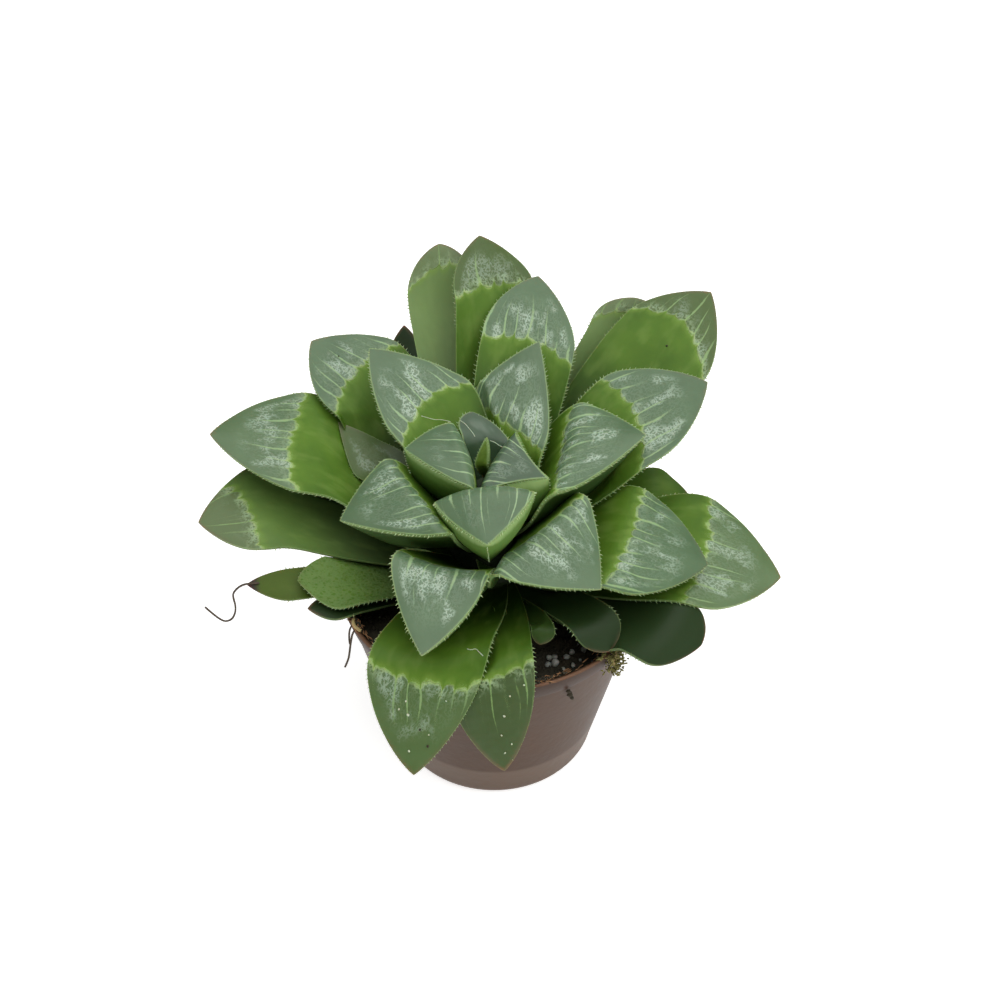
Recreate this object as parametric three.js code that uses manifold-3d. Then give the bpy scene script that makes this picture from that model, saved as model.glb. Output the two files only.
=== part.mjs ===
// A potted haworthia: a rosette of thick, retuse leaves on a short stem, in a small tapered plastic
// pot of dark soil. Millimetres, +Z up. The origin is the centre of the pot's underside, +X is the
// plant's right and -Y its front. Leaves are listed from the heart of the rosette outwards.

import * as THREE from 'three';
import { mergeVertices } from 'three/addons/utils/BufferGeometryUtils.js';
import Module from 'manifold-3d';

// Clearances: between neighbouring pieces, and between leaf and leaf
const GAP = 0.32;
const LEAF_GAP = 0.42;

// Pot
const POT_HEIGHT = 42;
const POT_RIM_RADIUS = 30;
const POT_BASE_RADIUS = 20.4;
const POT_WALL = 1;
const POT_FLOOR = 1.4;
const COLLAR_HEIGHT = 4.6;
const COLLAR_PROUD = 0.5;
const COLLAR_STEP = 0.6;
const RIM_ROUND = 0.4;
const BASE_EDGE_RADIUS = 2.6;
const BASE_EDGE_STEPS = 3;
const POT_SIDES = 32;
const DRAIN_HOLES = 5;
const DRAIN_RADIUS = 1.8;
const DRAIN_CIRCLE = 12;
const DRAIN_SIDES = 8;

// Soil: its level, and the width and relief of the lumps and crumbs of its top
const SOIL_LEVEL = 37;
const LUMP_WIDTH = 2.5;
const LUMP_RELIEF = 0.45;
const CRUMB_WIDTH = 1.2;
const CRUMB_RELIEF = 0.3;
const SOIL_RINGS = 5;
const SOIL_SIDES = 32;

// Stem, with the axis that the rosette turns round
const AXIS = new THREE.Vector3(-1, 3, 0);
const STEM_TOP = 62;
const STEM_NECK = 57;
const STEM_NECK_RADIUS = 2.6;
const STEM_CROWN = 45;
const STEM_CROWN_FOOT = 35;
const STEM_CROWN_RADIUS = 9;
const STEM_ROOT = 27;
const STEM_ROOT_RADIUS = 1;
const STEM_SIDES = 14;

// Leaf form, shared by all leaves. A share is a part of the whole way from foot to tip.
const HEART_RADIUS = 10;
const FOOT_WIDTH = 0.34;
const FOOT_DEPTH = 2.4;
const RISE_FULLNESS = 0.72;
const TIP_SHARPEST = 1.35;
const TIP_ROUNDING = 0.27;
const KEEL_TAPER = 1.6;
const KEEL_FULLNESS = 1.5;
const SHOULDER_SOFTNESS = 0.08;
const SHOULDER_SOFTEST = 0.6;
const BACK_SOFTNESS = 0.9;
const SHOULDER_TWIST = 0.12;
const BACK_TWIST = 0.5;
const RISE_HOLLOW = 1.6;
const WINDOW_CROWN = 0.5;
const NARROW_HALF = 6;
const MARGIN_THICKNESS = 0.5;
const RISE_ROWS = 4;
const WINDOW_ROWS = 6;
const UPPER_COLUMNS = [-1, -0.38, 0.38, 1];
const KEEL_COLUMNS = [1, 0, -1];
const BLUNT_KEEL_COLUMNS = [1, 0.5, 0, -0.5, -1];
const BLUNT_FROM = 0.5;
const SIDE_ROOM = 1.3;

// Margin teeth
const TOOTH_LENGTH = 0.8;
const TOOTH_BASE = 0.8;
const TOOTH_THICKNESS = 0.4;
const TOOTH_ROOT = 0.5;
const TOOTH_ROOTED = 0.2;
const TOOTH_LEAN = 0.35;
const TOOTH_PITCH = 5.4;
const TOOTH_LEAST = 0.45;
const TOOTH_WIDEST_HALF = 8;
const TEETH_START = 0.4;
const TEETH_END = 0.985;
const TEETH_STEP = 0.004;

// Fineness of the meshes: what counts as one point, and what is smoothed away
const SAME_POINT = 1e-5;
const TIDY = 0.02;

// Each leaf: name, left and right corners of its shoulder and its tip, as seen looking outwards along
// the leaf, the height of its foot on the stem, and the depth of its keel under the shoulder. Then how
// full the sides of its window are, with 1 for straight, and how blunt it is, with 0 for a keel that
// follows the upper face, and 1 for one that leaves the tip at right angles to the window.
const LEAVES = [
  ['leaf_bud', [-4, 1.5, 69], [-1, 1, 69], [-2.5, 2.5, 73], 62, 2, 1.8, 0.3],
  ['leaf_heart_back', [-5.5, 9.5, 69], [2.5, 10.5, 67], [-4, 14, 71], 59, 4, 1.35, 0.6],
  ['leaf_heart_left', [-3.5, -6.5, 69], [-7.5, 10.5, 71], [-16.5, 5, 69], 57, 4, 1.4, 1.3],
  ['leaf_heart_right', [4, 8, 71], [0, -6, 67], [9, -2, 69], 56, 3, 1.35, 1.4],
  ['leaf_heart_front', [7.5, -10.5, 70.5], [-11, -7.5, 67], [-1, -19.5, 67], 55, 4, 1.35, 1.25],
  ['leaf_inner_upper_left', [-18, 11, 66], [-5, 27, 69], [-25, 33, 73], 52, 8, 1.65, 0.4],
  ['leaf_inner_back', [-4, 24, 69], [10, 10, 66], [9, 31, 76], 53, 8, 1.4, 0.4],
  ['leaf_inner_right', [17, 21, 68], [12, -4, 66], [29, 12, 67], 51, 9, 1.4, 0.7],
  ['leaf_inner_left', [-8, -14, 65], [-20, 6, 66], [-28, -6, 61], 50, 8, 1.4, 0.8],
  ['leaf_inner_front', [1, -20, 61], [-18, -15, 60], [-12, -34, 55], 47, 8, 1.7, 0.5],
  ['leaf_inner_front_right', [17, -3, 64], [2, -20, 62], [19, -20, 57], 48, 8, 1.35, 0.5],
  ['leaf_middle_small', [-27, 13, 55], [-20, 20, 57], [-32, 27, 60], 49, 4, 1.8, 0],
  ['leaf_middle_back', [-2, 36, 76], [16, 31, 73], [9, 46, 82], 49, 6, 1.9, 0.2],
  ['leaf_middle_upper_left', [-32, 26, 62], [-20, 44, 67], [-38, 42, 69], 46, 7, 1.9, 0.2],
  ['leaf_middle_left', [-33, 5, 58], [-38, 33, 62], [-56, 19, 62], 45, 8, 1.8, 0.2],
  ['leaf_middle_upper_right', [22.5, 26.5, 71], [30.5, 10, 62], [41.5, 22.5, 72], 47, 7, 1.8, 0.2],
  ['leaf_middle_right', [28, 7, 58], [21, -18, 55], [40, -7, 51], 45, 7, 1.8, 0.2],
  ['leaf_outer_upper_right', [27, 41, 76], [41, 25, 70], [44, 43, 80], 45, 6, 1.8, 0],
  ['leaf_outer_back_right', [20, 43, 73], [34, 43, 71], [29, 46, 77], 43, 5, 1.8, 0],
  ['leaf_outer_back', [-8, 43, 80], [8, 49, 79], [-3, 52, 88], 45, 5, 1.8, 0],
  ['leaf_outer_back_left', [-18, 48, 75], [-4, 49, 77], [-11.5, 55, 84.5], 43, 5, 2.4, 0],
  ['leaf_outer_left', [-42, 0, 49], [-48, 19, 54], [-57, 4, 52], 42.5, 6, 1.8, 0],
  ['leaf_outer_right', [42, 13, 51], [36, -13.5, 47], [55, -4, 45], 42, 6, 1.8, 0],
  ['leaf_outer_front', [-1, -28, 49], [-22, -28, 48], [-14, -40, 31], 41.5, 4.5, 1.8, 0],
  ['leaf_outer_front_right', [7, -28, 48], [-9, -29.5, 46], [2, -37.5, 29], 42, 3, 2, 0],
  ['leaf_basal_front_stub', [10.5, -21.5, 48], [6.5, -21, 49], [8, -22.5, 46], 44, 2.5, 1.8, 0],
  ['leaf_basal_front_round', [22, -19.5, 50], [13, -23, 48], [21, -23, 45], 44, 3, 1.8, 0],
  ['leaf_basal_front_finger', [2.6, -17, 50], [0.4, -17, 50], [0, -18.5, 46], 44, 1.6, 1.8, 0],
  ['leaf_basal_right', [36, -13, 47], [26, -27, 46], [38, -20, 43], 39.5, 4, 2.4, 0],
  ['leaf_basal_left', [-28, -13, 45], [-32, -2, 48], [-37, -7, 47], 41.5, 3, 1.8, 0],
  ['leaf_basal_left_dry', [-38, -9, 43.5], [-39, -3, 46], [-47, -6, 45], 41, 2.2, 1.8, 0],
  ['leaf_basal_left_low', [-28, -14, 43.5], [-30, -7, 44], [-35, -11, 43.5], 39.5, 1.6, 1.8, 0],
  ['leaf_basal_back_right', [33, 21, 52], [29, 8, 50], [41, 16, 46], 41, 4, 1.8, 0],
  ['leaf_basal_upper_back', [-24, 52, 56], [-16, 52, 58], [-20, 58, 63], 41, 4, 1.8, 0],
  ['leaf_hidden_left_back', [-32, 7, 45], [-27, 20, 46], [-40, 18, 42], 40, 4, 1.8, 0],
  ['leaf_hidden_back_left', [-26, 22, 47], [-15, 31, 48], [-29, 37, 45], 40, 4, 1.8, 0],
  ['leaf_hidden_back', [-13, 31, 48], [1, 34, 49], [-9, 48, 46], 40.5, 4, 1.8, 0],
  ['leaf_hidden_back_right', [4, 33, 47], [17, 28, 48], [16, 45, 43], 40, 4, 1.8, 0],
  ['leaf_hidden_right_back', [18, 28, 46], [27, 17, 46], [32, 31, 41], 40, 4, 1.8, 0],
];

const wasm = await Module();
wasm.setup();

// A closed geometry as a solid that can be joined and cut, and back again
function toSolid(geometry) {
  const bare = geometry.clone();
  bare.deleteAttribute('normal');
  bare.deleteAttribute('uv');
  const merged = mergeVertices(bare, SAME_POINT);
  const mesh = new wasm.Mesh({
    numProp: 3,
    vertProperties: Float32Array.from(merged.attributes.position.array),
    triVerts: Uint32Array.from(merged.index.array),
  });
  return new wasm.Manifold(mesh);
}

function toGeometry(solid) {
  const mesh = solid.getMesh();
  const geometry = new THREE.BufferGeometry();
  geometry.setAttribute('position', new THREE.BufferAttribute(mesh.vertProperties, 3));
  geometry.setIndex(new THREE.BufferAttribute(mesh.triVerts, 1));
  geometry.computeVertexNormals();
  return geometry;
}

function fromPoints(points, faces) {
  const geometry = new THREE.BufferGeometry();
  geometry.setAttribute('position', new THREE.Float32BufferAttribute(points.flat(), 3));
  geometry.setIndex(faces);
  return geometry;
}

function largestPiece(solid) {
  const pieces = solid.decompose();
  return pieces.reduce((best, piece) => (piece.volume() > best.volume() ? piece : best));
}

// A profile turned round the upright axis, as radius and height pairs from the axis to the axis
function turned(profile, sides) {
  const geometry = new THREE.LatheGeometry(profile.map(([r, z]) => new THREE.Vector2(r, z)), sides);
  return geometry.rotateX(Math.PI / 2);
}

// Pot: tapered wall with a collar at the rim, a rounded edge at the foot and holes in its floor
const TOP_OF_WALL = POT_HEIGHT - COLLAR_HEIGHT;

function wallRadius(z) {
  const slope = (POT_RIM_RADIUS - COLLAR_PROUD - POT_BASE_RADIUS) / POT_HEIGHT;
  return POT_BASE_RADIUS + slope * Math.min(z, TOP_OF_WALL);
}

function potSolid() {
  const outside = [[0, 0]];
  for (let step = 0; step <= BASE_EDGE_STEPS; step += 1) {
    const angle = (Math.PI / 2) * (step / BASE_EDGE_STEPS);
    const z = BASE_EDGE_RADIUS * (1 - Math.cos(angle));
    outside.push([wallRadius(z) - BASE_EDGE_RADIUS * (1 - Math.sin(angle)), z]);
  }
  outside.push([wallRadius(TOP_OF_WALL), TOP_OF_WALL]);
  outside.push([wallRadius(TOP_OF_WALL) + COLLAR_PROUD, TOP_OF_WALL + COLLAR_STEP]);
  outside.push([POT_RIM_RADIUS, POT_HEIGHT - RIM_ROUND]);
  outside.push([POT_RIM_RADIUS - POT_WALL / 2, POT_HEIGHT]);
  const inside = [
    [POT_RIM_RADIUS - POT_WALL, POT_HEIGHT - RIM_ROUND],
    [wallRadius(TOP_OF_WALL) + COLLAR_PROUD - POT_WALL, TOP_OF_WALL + COLLAR_STEP / 2],
    [wallRadius(TOP_OF_WALL) - POT_WALL, TOP_OF_WALL - COLLAR_STEP / 2],
    [wallRadius(BASE_EDGE_RADIUS) - POT_WALL, BASE_EDGE_RADIUS],
    [wallRadius(0) - BASE_EDGE_RADIUS, POT_FLOOR],
    [0, POT_FLOOR],
  ];
  let pot = toSolid(turned([...outside, ...inside], POT_SIDES));
  for (let hole = 0; hole < DRAIN_HOLES; hole += 1) {
    const angle = (hole / DRAIN_HOLES) * 2 * Math.PI;
    const drill = new THREE.CylinderGeometry(DRAIN_RADIUS, DRAIN_RADIUS, 4 * POT_FLOOR, DRAIN_SIDES);
    drill.rotateX(Math.PI / 2);
    drill.translate(DRAIN_CIRCLE * Math.cos(angle), DRAIN_CIRCLE * Math.sin(angle), 0);
    pot = pot.subtract(toSolid(drill));
  }
  return pot;
}

// Soil: fills the pot to a little under the rim, with a lumpy top
function soilHeight(x, y) {
  const lumps = LUMP_RELIEF * Math.sin(x / LUMP_WIDTH + 1) * Math.cos(y / LUMP_WIDTH);
  const crumbs = CRUMB_RELIEF * Math.sin((x - y) / CRUMB_WIDTH);
  return SOIL_LEVEL + lumps + crumbs;
}

function soilSolid() {
  const topRadius = wallRadius(SOIL_LEVEL - LUMP_RELIEF - CRUMB_RELIEF) - POT_WALL - GAP;
  const points = [[0, 0, soilHeight(0, 0)]];
  const ring = (radius, heightAt) => {
    for (let side = 0; side < SOIL_SIDES; side += 1) {
      const angle = (side / SOIL_SIDES) * 2 * Math.PI;
      const x = radius * Math.cos(angle);
      const y = radius * Math.sin(angle);
      points.push([x, y, heightAt(x, y)]);
    }
  };
  for (let step = 1; step <= SOIL_RINGS; step += 1) ring((topRadius * step) / SOIL_RINGS, soilHeight);
  ring(wallRadius(BASE_EDGE_RADIUS) - POT_WALL - GAP, () => BASE_EDGE_RADIUS + GAP);
  ring(wallRadius(0) - BASE_EDGE_RADIUS - GAP, () => POT_FLOOR + GAP);
  points.push([0, 0, POT_FLOOR + GAP]);
  const faces = [];
  for (let side = 0; side < SOIL_SIDES; side += 1) {
    const next = (side + 1) % SOIL_SIDES;
    faces.push(0, 1 + side, 1 + next);
    for (let step = 0; step <= SOIL_RINGS; step += 1) {
      const here = 1 + step * SOIL_SIDES;
      const below = here + SOIL_SIDES;
      faces.push(here + side, below + side, below + next);
      faces.push(here + side, below + next, here + next);
    }
    const last = 1 + (SOIL_RINGS + 1) * SOIL_SIDES;
    faces.push(points.length - 1, last + next, last + side);
  }
  return toSolid(fromPoints(points, faces));
}

// Stem: widens from the neck under the bud to a crown, then narrows to the root in the soil
function stemGeometry(grow) {
  const profile = [
    [0, STEM_ROOT - grow],
    [STEM_ROOT_RADIUS + grow, STEM_ROOT - grow],
    [STEM_CROWN_RADIUS + grow, STEM_CROWN_FOOT],
    [STEM_CROWN_RADIUS + grow, STEM_CROWN],
    [STEM_NECK_RADIUS + grow, STEM_NECK],
    [STEM_NECK_RADIUS + grow, STEM_TOP + grow],
    [0, STEM_TOP + grow],
  ];
  return turned(profile, STEM_SIDES).translate(AXIS.x, AXIS.y, 0);
}

// One leaf: its upper face rises from the stem to the shoulder, turns there, and runs on as the flat
// window to the tip. The foot looks outwards from the stem and is turned towards its shoulder.
function leafFrame([, left, right, tip, footHeight, depth, fullness, bluntness]) {
  const shoulderLeft = new THREE.Vector3(...left);
  const shoulderRight = new THREE.Vector3(...right);
  const tipPoint = new THREE.Vector3(...tip);
  const shoulder = shoulderLeft.clone().add(shoulderRight).multiplyScalar(0.5);
  const across = shoulderLeft.clone().sub(shoulderRight);
  const breadth = across.length();
  across.normalize();
  const reach = shoulder.clone().add(tipPoint).multiplyScalar(0.5).setZ(0).sub(AXIS);
  const outward = new THREE.Vector3(across.y, -across.x, 0)
    .addScaledVector(reach, 1 / HEART_RADIUS)
    .normalize();
  const foot = new THREE.Vector3(AXIS.x, AXIS.y, footHeight).addScaledVector(outward, STEM_NECK_RADIUS);
  const footAcross = new THREE.Vector3(-outward.y, outward.x, 0);
  const rise = shoulder.clone().sub(foot);
  const run = tipPoint.clone().sub(shoulder);
  const turn = rise.length() / (rise.length() + run.length());
  const riseNormal = rise.clone().normalize().cross(across).normalize();
  const windowNormal = run.clone().normalize().cross(across).normalize();
  const form = { breadth, depth, fullness, bluntness, turn };
  return { foot, tipPoint, rise, run, across, footAcross, riseNormal, windowNormal, ...form };
}

function smooth(x) {
  const t = Math.min(1, Math.max(0, x));
  return t * t * (3 - 2 * t);
}

// How far the leaf has turned at t from its rise to its window, over a twist on both sides of the turn
function turnedBy(leaf, t, twist) {
  return smooth((t - leaf.turn) / (2 * twist) + 0.5);
}

// A point of the leaf's middle line: its corner at the shoulder is a parabola, of the given softness
function leafPoint(leaf, t, soft) {
  let beyond = Math.max(0, t - leaf.turn);
  if (Math.abs(t - leaf.turn) < soft) beyond = (t - leaf.turn + soft) ** 2 / (4 * soft);
  return leaf.foot.clone()
    .addScaledVector(leaf.rise, (t - beyond) / leaf.turn)
    .addScaledVector(leaf.run, beyond / (1 - leaf.turn));
}

// A point of the blunt keel: a parabola that runs out from the foot, and then up to the tip
function bluntPoint(leaf, t) {
  return leaf.foot.clone().addScaledVector(leaf.run, t * (2 - t)).addScaledVector(leaf.rise, t * t);
}

function leafWidth(leaf, t) {
  if (t < leaf.turn) {
    const risen = Math.sin((Math.PI / 2) * (t / leaf.turn)) ** RISE_FULLNESS;
    return leaf.breadth * THREE.MathUtils.lerp(FOOT_WIDTH, 1, risen);
  }
  const along = (t - leaf.turn) / (1 - leaf.turn);
  const sharpness = TIP_SHARPEST - TIP_ROUNDING * leaf.fullness;
  return leaf.breadth * (1 - along ** leaf.fullness) ** sharpness;
}

// One cross row of a leaf at t, swollen by grow. The upper face is hollow below the shoulder and
// crowned on the window, and the back is a keel that follows a softer corner than the upper face.
function leafRow(leaf, t, grow) {
  const twisted = turnedBy(leaf, t, SHOULDER_TWIST);
  const backTwisted = turnedBy(leaf, t, BACK_TWIST);
  const risen = smooth(t / leaf.turn);
  const along = Math.max(0, (t - leaf.turn) / (1 - leaf.turn));
  const half = leafWidth(leaf, t) / 2;
  const backNormal = leaf.riseNormal.clone().lerp(leaf.windowNormal, backTwisted).normalize();
  const bluntNormal = leaf.riseNormal.clone().add(leaf.windowNormal);
  return {
    grow,
    half,
    normal: leaf.riseNormal.clone().lerp(leaf.windowNormal, twisted).normalize(),
    backNormal,
    keelNormal: backNormal.clone().lerp(bluntNormal, leaf.bluntness),
    across: leaf.footAcross.clone().lerp(leaf.across, risen).normalize(),
    middle: leafPoint(leaf, t, Math.min(SHOULDER_SOFTNESS, SHOULDER_SOFTEST * (1 - leaf.turn))),
    below: leafPoint(leaf, t, BACK_SOFTNESS * Math.min(leaf.turn, 1 - leaf.turn)),
    blunt: bluntPoint(leaf, t),
    bluntness: leaf.bluntness,
    deep: THREE.MathUtils.lerp(FOOT_DEPTH, leaf.depth, risen) * (1 - along ** KEEL_TAPER),
    cup: THREE.MathUtils.lerp(RISE_HOLLOW, -WINDOW_CROWN, twisted) * Math.min(1, half / NARROW_HALF),
  };
}

function upperPoint(row, v) {
  return row.middle.clone()
    .addScaledVector(row.across, v * (row.half + SIDE_ROOM * row.grow))
    .addScaledVector(row.normal, row.cup * v * v + row.grow + MARGIN_THICKNESS / 2);
}

function lowerPoint(row, v) {
  const edge = upperPoint(row, Math.sign(v))
    .addScaledVector(row.normal, -MARGIN_THICKNESS - 2 * row.grow);
  const keel = row.below.clone()
    .addScaledVector(row.backNormal, -row.deep)
    .lerp(row.blunt, row.bluntness)
    .addScaledVector(row.keelNormal, -row.grow)
    .addScaledVector(row.backNormal, -MARGIN_THICKNESS);
  return edge.lerp(keel, 1 - Math.abs(v) ** KEEL_FULLNESS);
}

function leafShares(leaf) {
  const shares = [];
  for (let i = 0; i < RISE_ROWS; i += 1) shares.push((leaf.turn * i) / RISE_ROWS);
  for (let i = 0; i < WINDOW_ROWS; i += 1) {
    shares.push(leaf.turn + (1 - leaf.turn) * Math.sin(((Math.PI / 2) * i) / WINDOW_ROWS));
  }
  return shares;
}

function leafBody(leaf, grow) {
  const points = [];
  const faces = [];
  const shares = leafShares(leaf);
  const backColumns = leaf.bluntness < BLUNT_FROM ? KEEL_COLUMNS : BLUNT_KEEL_COLUMNS;
  const count = UPPER_COLUMNS.length + backColumns.length;
  const underFoot = leaf.rise.clone().normalize().multiplyScalar(-grow);
  for (const t of shares) {
    const row = leafRow(leaf, t, grow);
    if (t === 0) [row.middle, row.below, row.blunt].forEach((point) => point.add(underFoot));
    for (const v of UPPER_COLUMNS) points.push(upperPoint(row, v).toArray());
    for (const v of backColumns) points.push(lowerPoint(row, v).toArray());
  }
  for (let i = 0; i + 1 < shares.length; i += 1) {
    for (let j = 0; j < count; j += 1) {
      const a = i * count + j;
      const b = i * count + ((j + 1) % count);
      faces.push(a, b + count, b);
      faces.push(a, a + count, b + count);
    }
  }
  const beyondTip = leaf.run.clone().normalize().multiplyScalar(grow);
  const tip = points.push(leaf.tipPoint.clone().add(beyondTip).toArray());
  const foot = points.push(leaf.foot.clone().add(underFoot).toArray());
  const last = (shares.length - 1) * count;
  for (let j = 0; j < count; j += 1) {
    const next = (j + 1) % count;
    faces.push(last + next, last + j, tip - 1);
    faces.push(j, next, foot - 1);
  }
  return toSolid(fromPoints(points, faces));
}

// What the pot and its soil take up, swollen by the gap that the leaves keep to them
function potRoom() {
  const rimOutside = POT_RIM_RADIUS + GAP;
  const rimInside = POT_RIM_RADIUS - POT_WALL - GAP;
  const wallInside = wallRadius(TOP_OF_WALL) + COLLAR_PROUD - POT_WALL - GAP;
  const soilTop = SOIL_LEVEL + LUMP_RELIEF + CRUMB_RELIEF + GAP;
  const profile = [
    [0, 0],
    [wallRadius(0) + GAP, 0],
    [wallRadius(TOP_OF_WALL) + GAP, TOP_OF_WALL - COLLAR_STEP],
    [rimOutside, TOP_OF_WALL],
    [rimOutside, POT_HEIGHT + GAP],
    [rimInside, POT_HEIGHT + GAP],
    [wallInside, soilTop],
    [0, soilTop],
  ];
  return turned(profile, POT_SIDES);
}

function boxesMeet(a, b) {
  return [0, 1, 2].every((k) => a.min[k] < b.max[k] && b.min[k] < a.max[k]);
}

// Every leaf makes room for the stem, the pot, the soil and the leaves nearer the heart
function leafSolids(frames) {
  const grounds = [toSolid(stemGeometry(GAP)), toSolid(potRoom())];
  const rooms = frames.map((leaf) => leafBody(leaf, LEAF_GAP));
  return frames.map((leaf, index) => {
    const body = leafBody(leaf, 0);
    const box = body.boundingBox();
    const inner = rooms.slice(0, index).filter((room) => boxesMeet(box, room.boundingBox()));
    const cut = [...grounds, ...inner].reduce((solid, room) => solid.subtract(room), body);
    return largestPiece(cut).simplify(TIDY);
  });
}

// Margin teeth: slim three-sided spines along both margins, leaning a little towards the tip
function toothSolid(row, side, along, grow) {
  const edge = upperPoint(row, side).lerp(lowerPoint(row, side), 0.5);
  const out = row.across.clone().multiplyScalar(side).addScaledVector(along, TOOTH_LEAN).normalize();
  const size = Math.min(1, TOOTH_LEAST + row.half / TOOTH_WIDEST_HALF);
  const proud = TOOTH_LENGTH * size;
  const spine = new THREE.ConeGeometry(0.5, proud + TOOTH_ROOT + 2 * grow, 3);
  spine.scale(TOOTH_THICKNESS + 2 * grow, 1, TOOTH_BASE * size + 2 * grow);
  const flank = row.normal.clone().cross(out).normalize();
  const face = out.clone().cross(flank);
  spine.applyMatrix4(new THREE.Matrix4().makeBasis(face, out, flank));
  const middle = edge.addScaledVector(out, (proud - TOOTH_ROOT) / 2);
  return toSolid(spine.translate(middle.x, middle.y, middle.z));
}

// Teeth stand an even pitch apart along each margin, and half a pitch out of step on the two sides
function toothPlaces(leaf) {
  const places = [];
  for (const side of [-1, 1]) {
    let travelled = side < 0 ? TOOTH_PITCH / 2 : TOOTH_PITCH;
    let before = upperPoint(leafRow(leaf, TEETH_START * leaf.turn, 0), side);
    for (let t = TEETH_START * leaf.turn; t < TEETH_END; t += TEETH_STEP) {
      const here = upperPoint(leafRow(leaf, t, 0), side);
      travelled += here.distanceTo(before);
      if (travelled >= TOOTH_PITCH) {
        travelled = 0;
        places.push({ t, side, along: here.clone().sub(before).normalize() });
      }
      before = here;
    }
  }
  return places;
}

function meets(solid, others) {
  const box = solid.boundingBox();
  return others.some((other) => boxesMeet(box, other.boundingBox()) && !solid.intersect(other).isEmpty());
}

// A tooth is left out where it would touch a neighbour, or where its margin is cut away
function addTeeth(frames, bodies, grounds) {
  const solids = [...bodies];
  frames.forEach((leaf, index) => {
    const others = [...grounds, ...solids.filter((_, other) => other !== index)];
    const teeth = [];
    for (const { t, side, along } of toothPlaces(leaf)) {
      const row = leafRow(leaf, t, 0);
      if (meets(toothSolid(row, side, along, GAP), others)) continue;
      const tooth = toothSolid(row, side, along, 0);
      const rooted = tooth.intersect(bodies[index]).volume();
      if (rooted > TOOTH_ROOTED * tooth.volume()) teeth.push(tooth);
    }
    solids[index] = largestPiece(wasm.Manifold.union([bodies[index], ...teeth]));
  });
  return solids;
}

function standard(color, roughness) {
  return new THREE.MeshStandardMaterial({ color, roughness, metalness: 0 });
}

const materials = {
  pot: standard(0x75645a, 0.45),
  soil: standard(0x1c1610, 0.95),
  stem: standard(0x8a9a5a, 0.7),
  leaf: standard(0x587a4a, 0.35),
};

function piece(name, solid, material) {
  const mesh = new THREE.Mesh(toGeometry(solid), material);
  mesh.name = name;
  return mesh;
}

const pot = potSolid();
const soil = soilSolid().subtract(toSolid(stemGeometry(GAP)));
const holder = new THREE.Group();
holder.add(piece('pot', pot, materials.pot));
holder.add(piece('soil', soil, materials.soil));

const stem = toSolid(stemGeometry(0));
const frames = LEAVES.map(leafFrame);
const leaves = addTeeth(frames, leafSolids(frames), [pot, soil, stem]);
const rosette = new THREE.Group();
rosette.add(piece('stem', stem, materials.stem));
leaves.forEach((solid, index) => rosette.add(piece(LEAVES[index][0], solid, materials.leaf)));

const plant = new THREE.Group();
plant.add(holder, rosette);

export default plant;
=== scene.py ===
"""A small haworthia in a nursery pot: its looks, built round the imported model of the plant.

Metres, +Z up, with the origin at the centre of the pot's underside and the plant's front at -Y. The
script follows the plant as it is potted: pot, soil, stem, leaves, and then what has settled on them.
"""

import math
import random

import bpy
import numpy as np
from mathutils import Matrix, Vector, noise
from mathutils.bvhtree import BVHTree


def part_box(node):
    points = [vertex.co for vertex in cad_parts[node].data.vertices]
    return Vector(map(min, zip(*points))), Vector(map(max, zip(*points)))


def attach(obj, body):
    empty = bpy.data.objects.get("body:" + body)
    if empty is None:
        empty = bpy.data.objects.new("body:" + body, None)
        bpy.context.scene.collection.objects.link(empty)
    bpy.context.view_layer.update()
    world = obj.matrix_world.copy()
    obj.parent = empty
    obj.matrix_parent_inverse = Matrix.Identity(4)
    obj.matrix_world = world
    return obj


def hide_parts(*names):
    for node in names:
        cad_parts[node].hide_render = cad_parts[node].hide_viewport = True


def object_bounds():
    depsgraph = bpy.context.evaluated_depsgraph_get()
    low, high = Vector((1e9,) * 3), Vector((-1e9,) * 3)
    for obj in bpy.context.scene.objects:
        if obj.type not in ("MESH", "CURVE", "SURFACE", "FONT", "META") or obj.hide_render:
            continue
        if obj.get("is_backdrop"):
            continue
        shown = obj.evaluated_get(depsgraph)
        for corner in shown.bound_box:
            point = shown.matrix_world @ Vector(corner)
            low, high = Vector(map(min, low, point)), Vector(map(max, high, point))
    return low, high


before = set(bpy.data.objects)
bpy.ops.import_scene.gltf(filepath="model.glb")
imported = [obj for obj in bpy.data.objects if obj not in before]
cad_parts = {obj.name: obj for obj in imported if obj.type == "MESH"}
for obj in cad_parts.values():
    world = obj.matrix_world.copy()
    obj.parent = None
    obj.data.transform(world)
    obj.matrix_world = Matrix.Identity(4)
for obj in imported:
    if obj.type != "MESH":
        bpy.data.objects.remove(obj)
cad_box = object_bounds()

# The pot: one thin shell of injection-moulded brown plastic with a collar under its rim, a rounded
# foot and drain holes in its floor. It stands on its underside and carries all the rest.
MM = 0.001
POT_SIDES = 128
POT_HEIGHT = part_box("pot")[1].z
RIM_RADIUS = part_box("pot")[1].x
BASE_RADIUS = 20.4 * MM
POT_WALL = 1 * MM
POT_FLOOR = 1.4 * MM
COLLAR_HEIGHT = 4.6 * MM
COLLAR_PROUD = 0.5 * MM
COLLAR_STEP = 0.6 * MM
RIM_ROUND = 0.4 * MM
FOOT_ROUND = 2.6 * MM
FOOT_BAND = 9.7 * MM
FOOT_BAND_STEP = 0.12 * MM
DRAIN_HOLES = 5
DRAIN_RADIUS = 1.8 * MM
DRAIN_CIRCLE = 12 * MM
POT_CREASE = math.radians(32)
TOP_OF_WALL = POT_HEIGHT - COLLAR_HEIGHT


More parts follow.
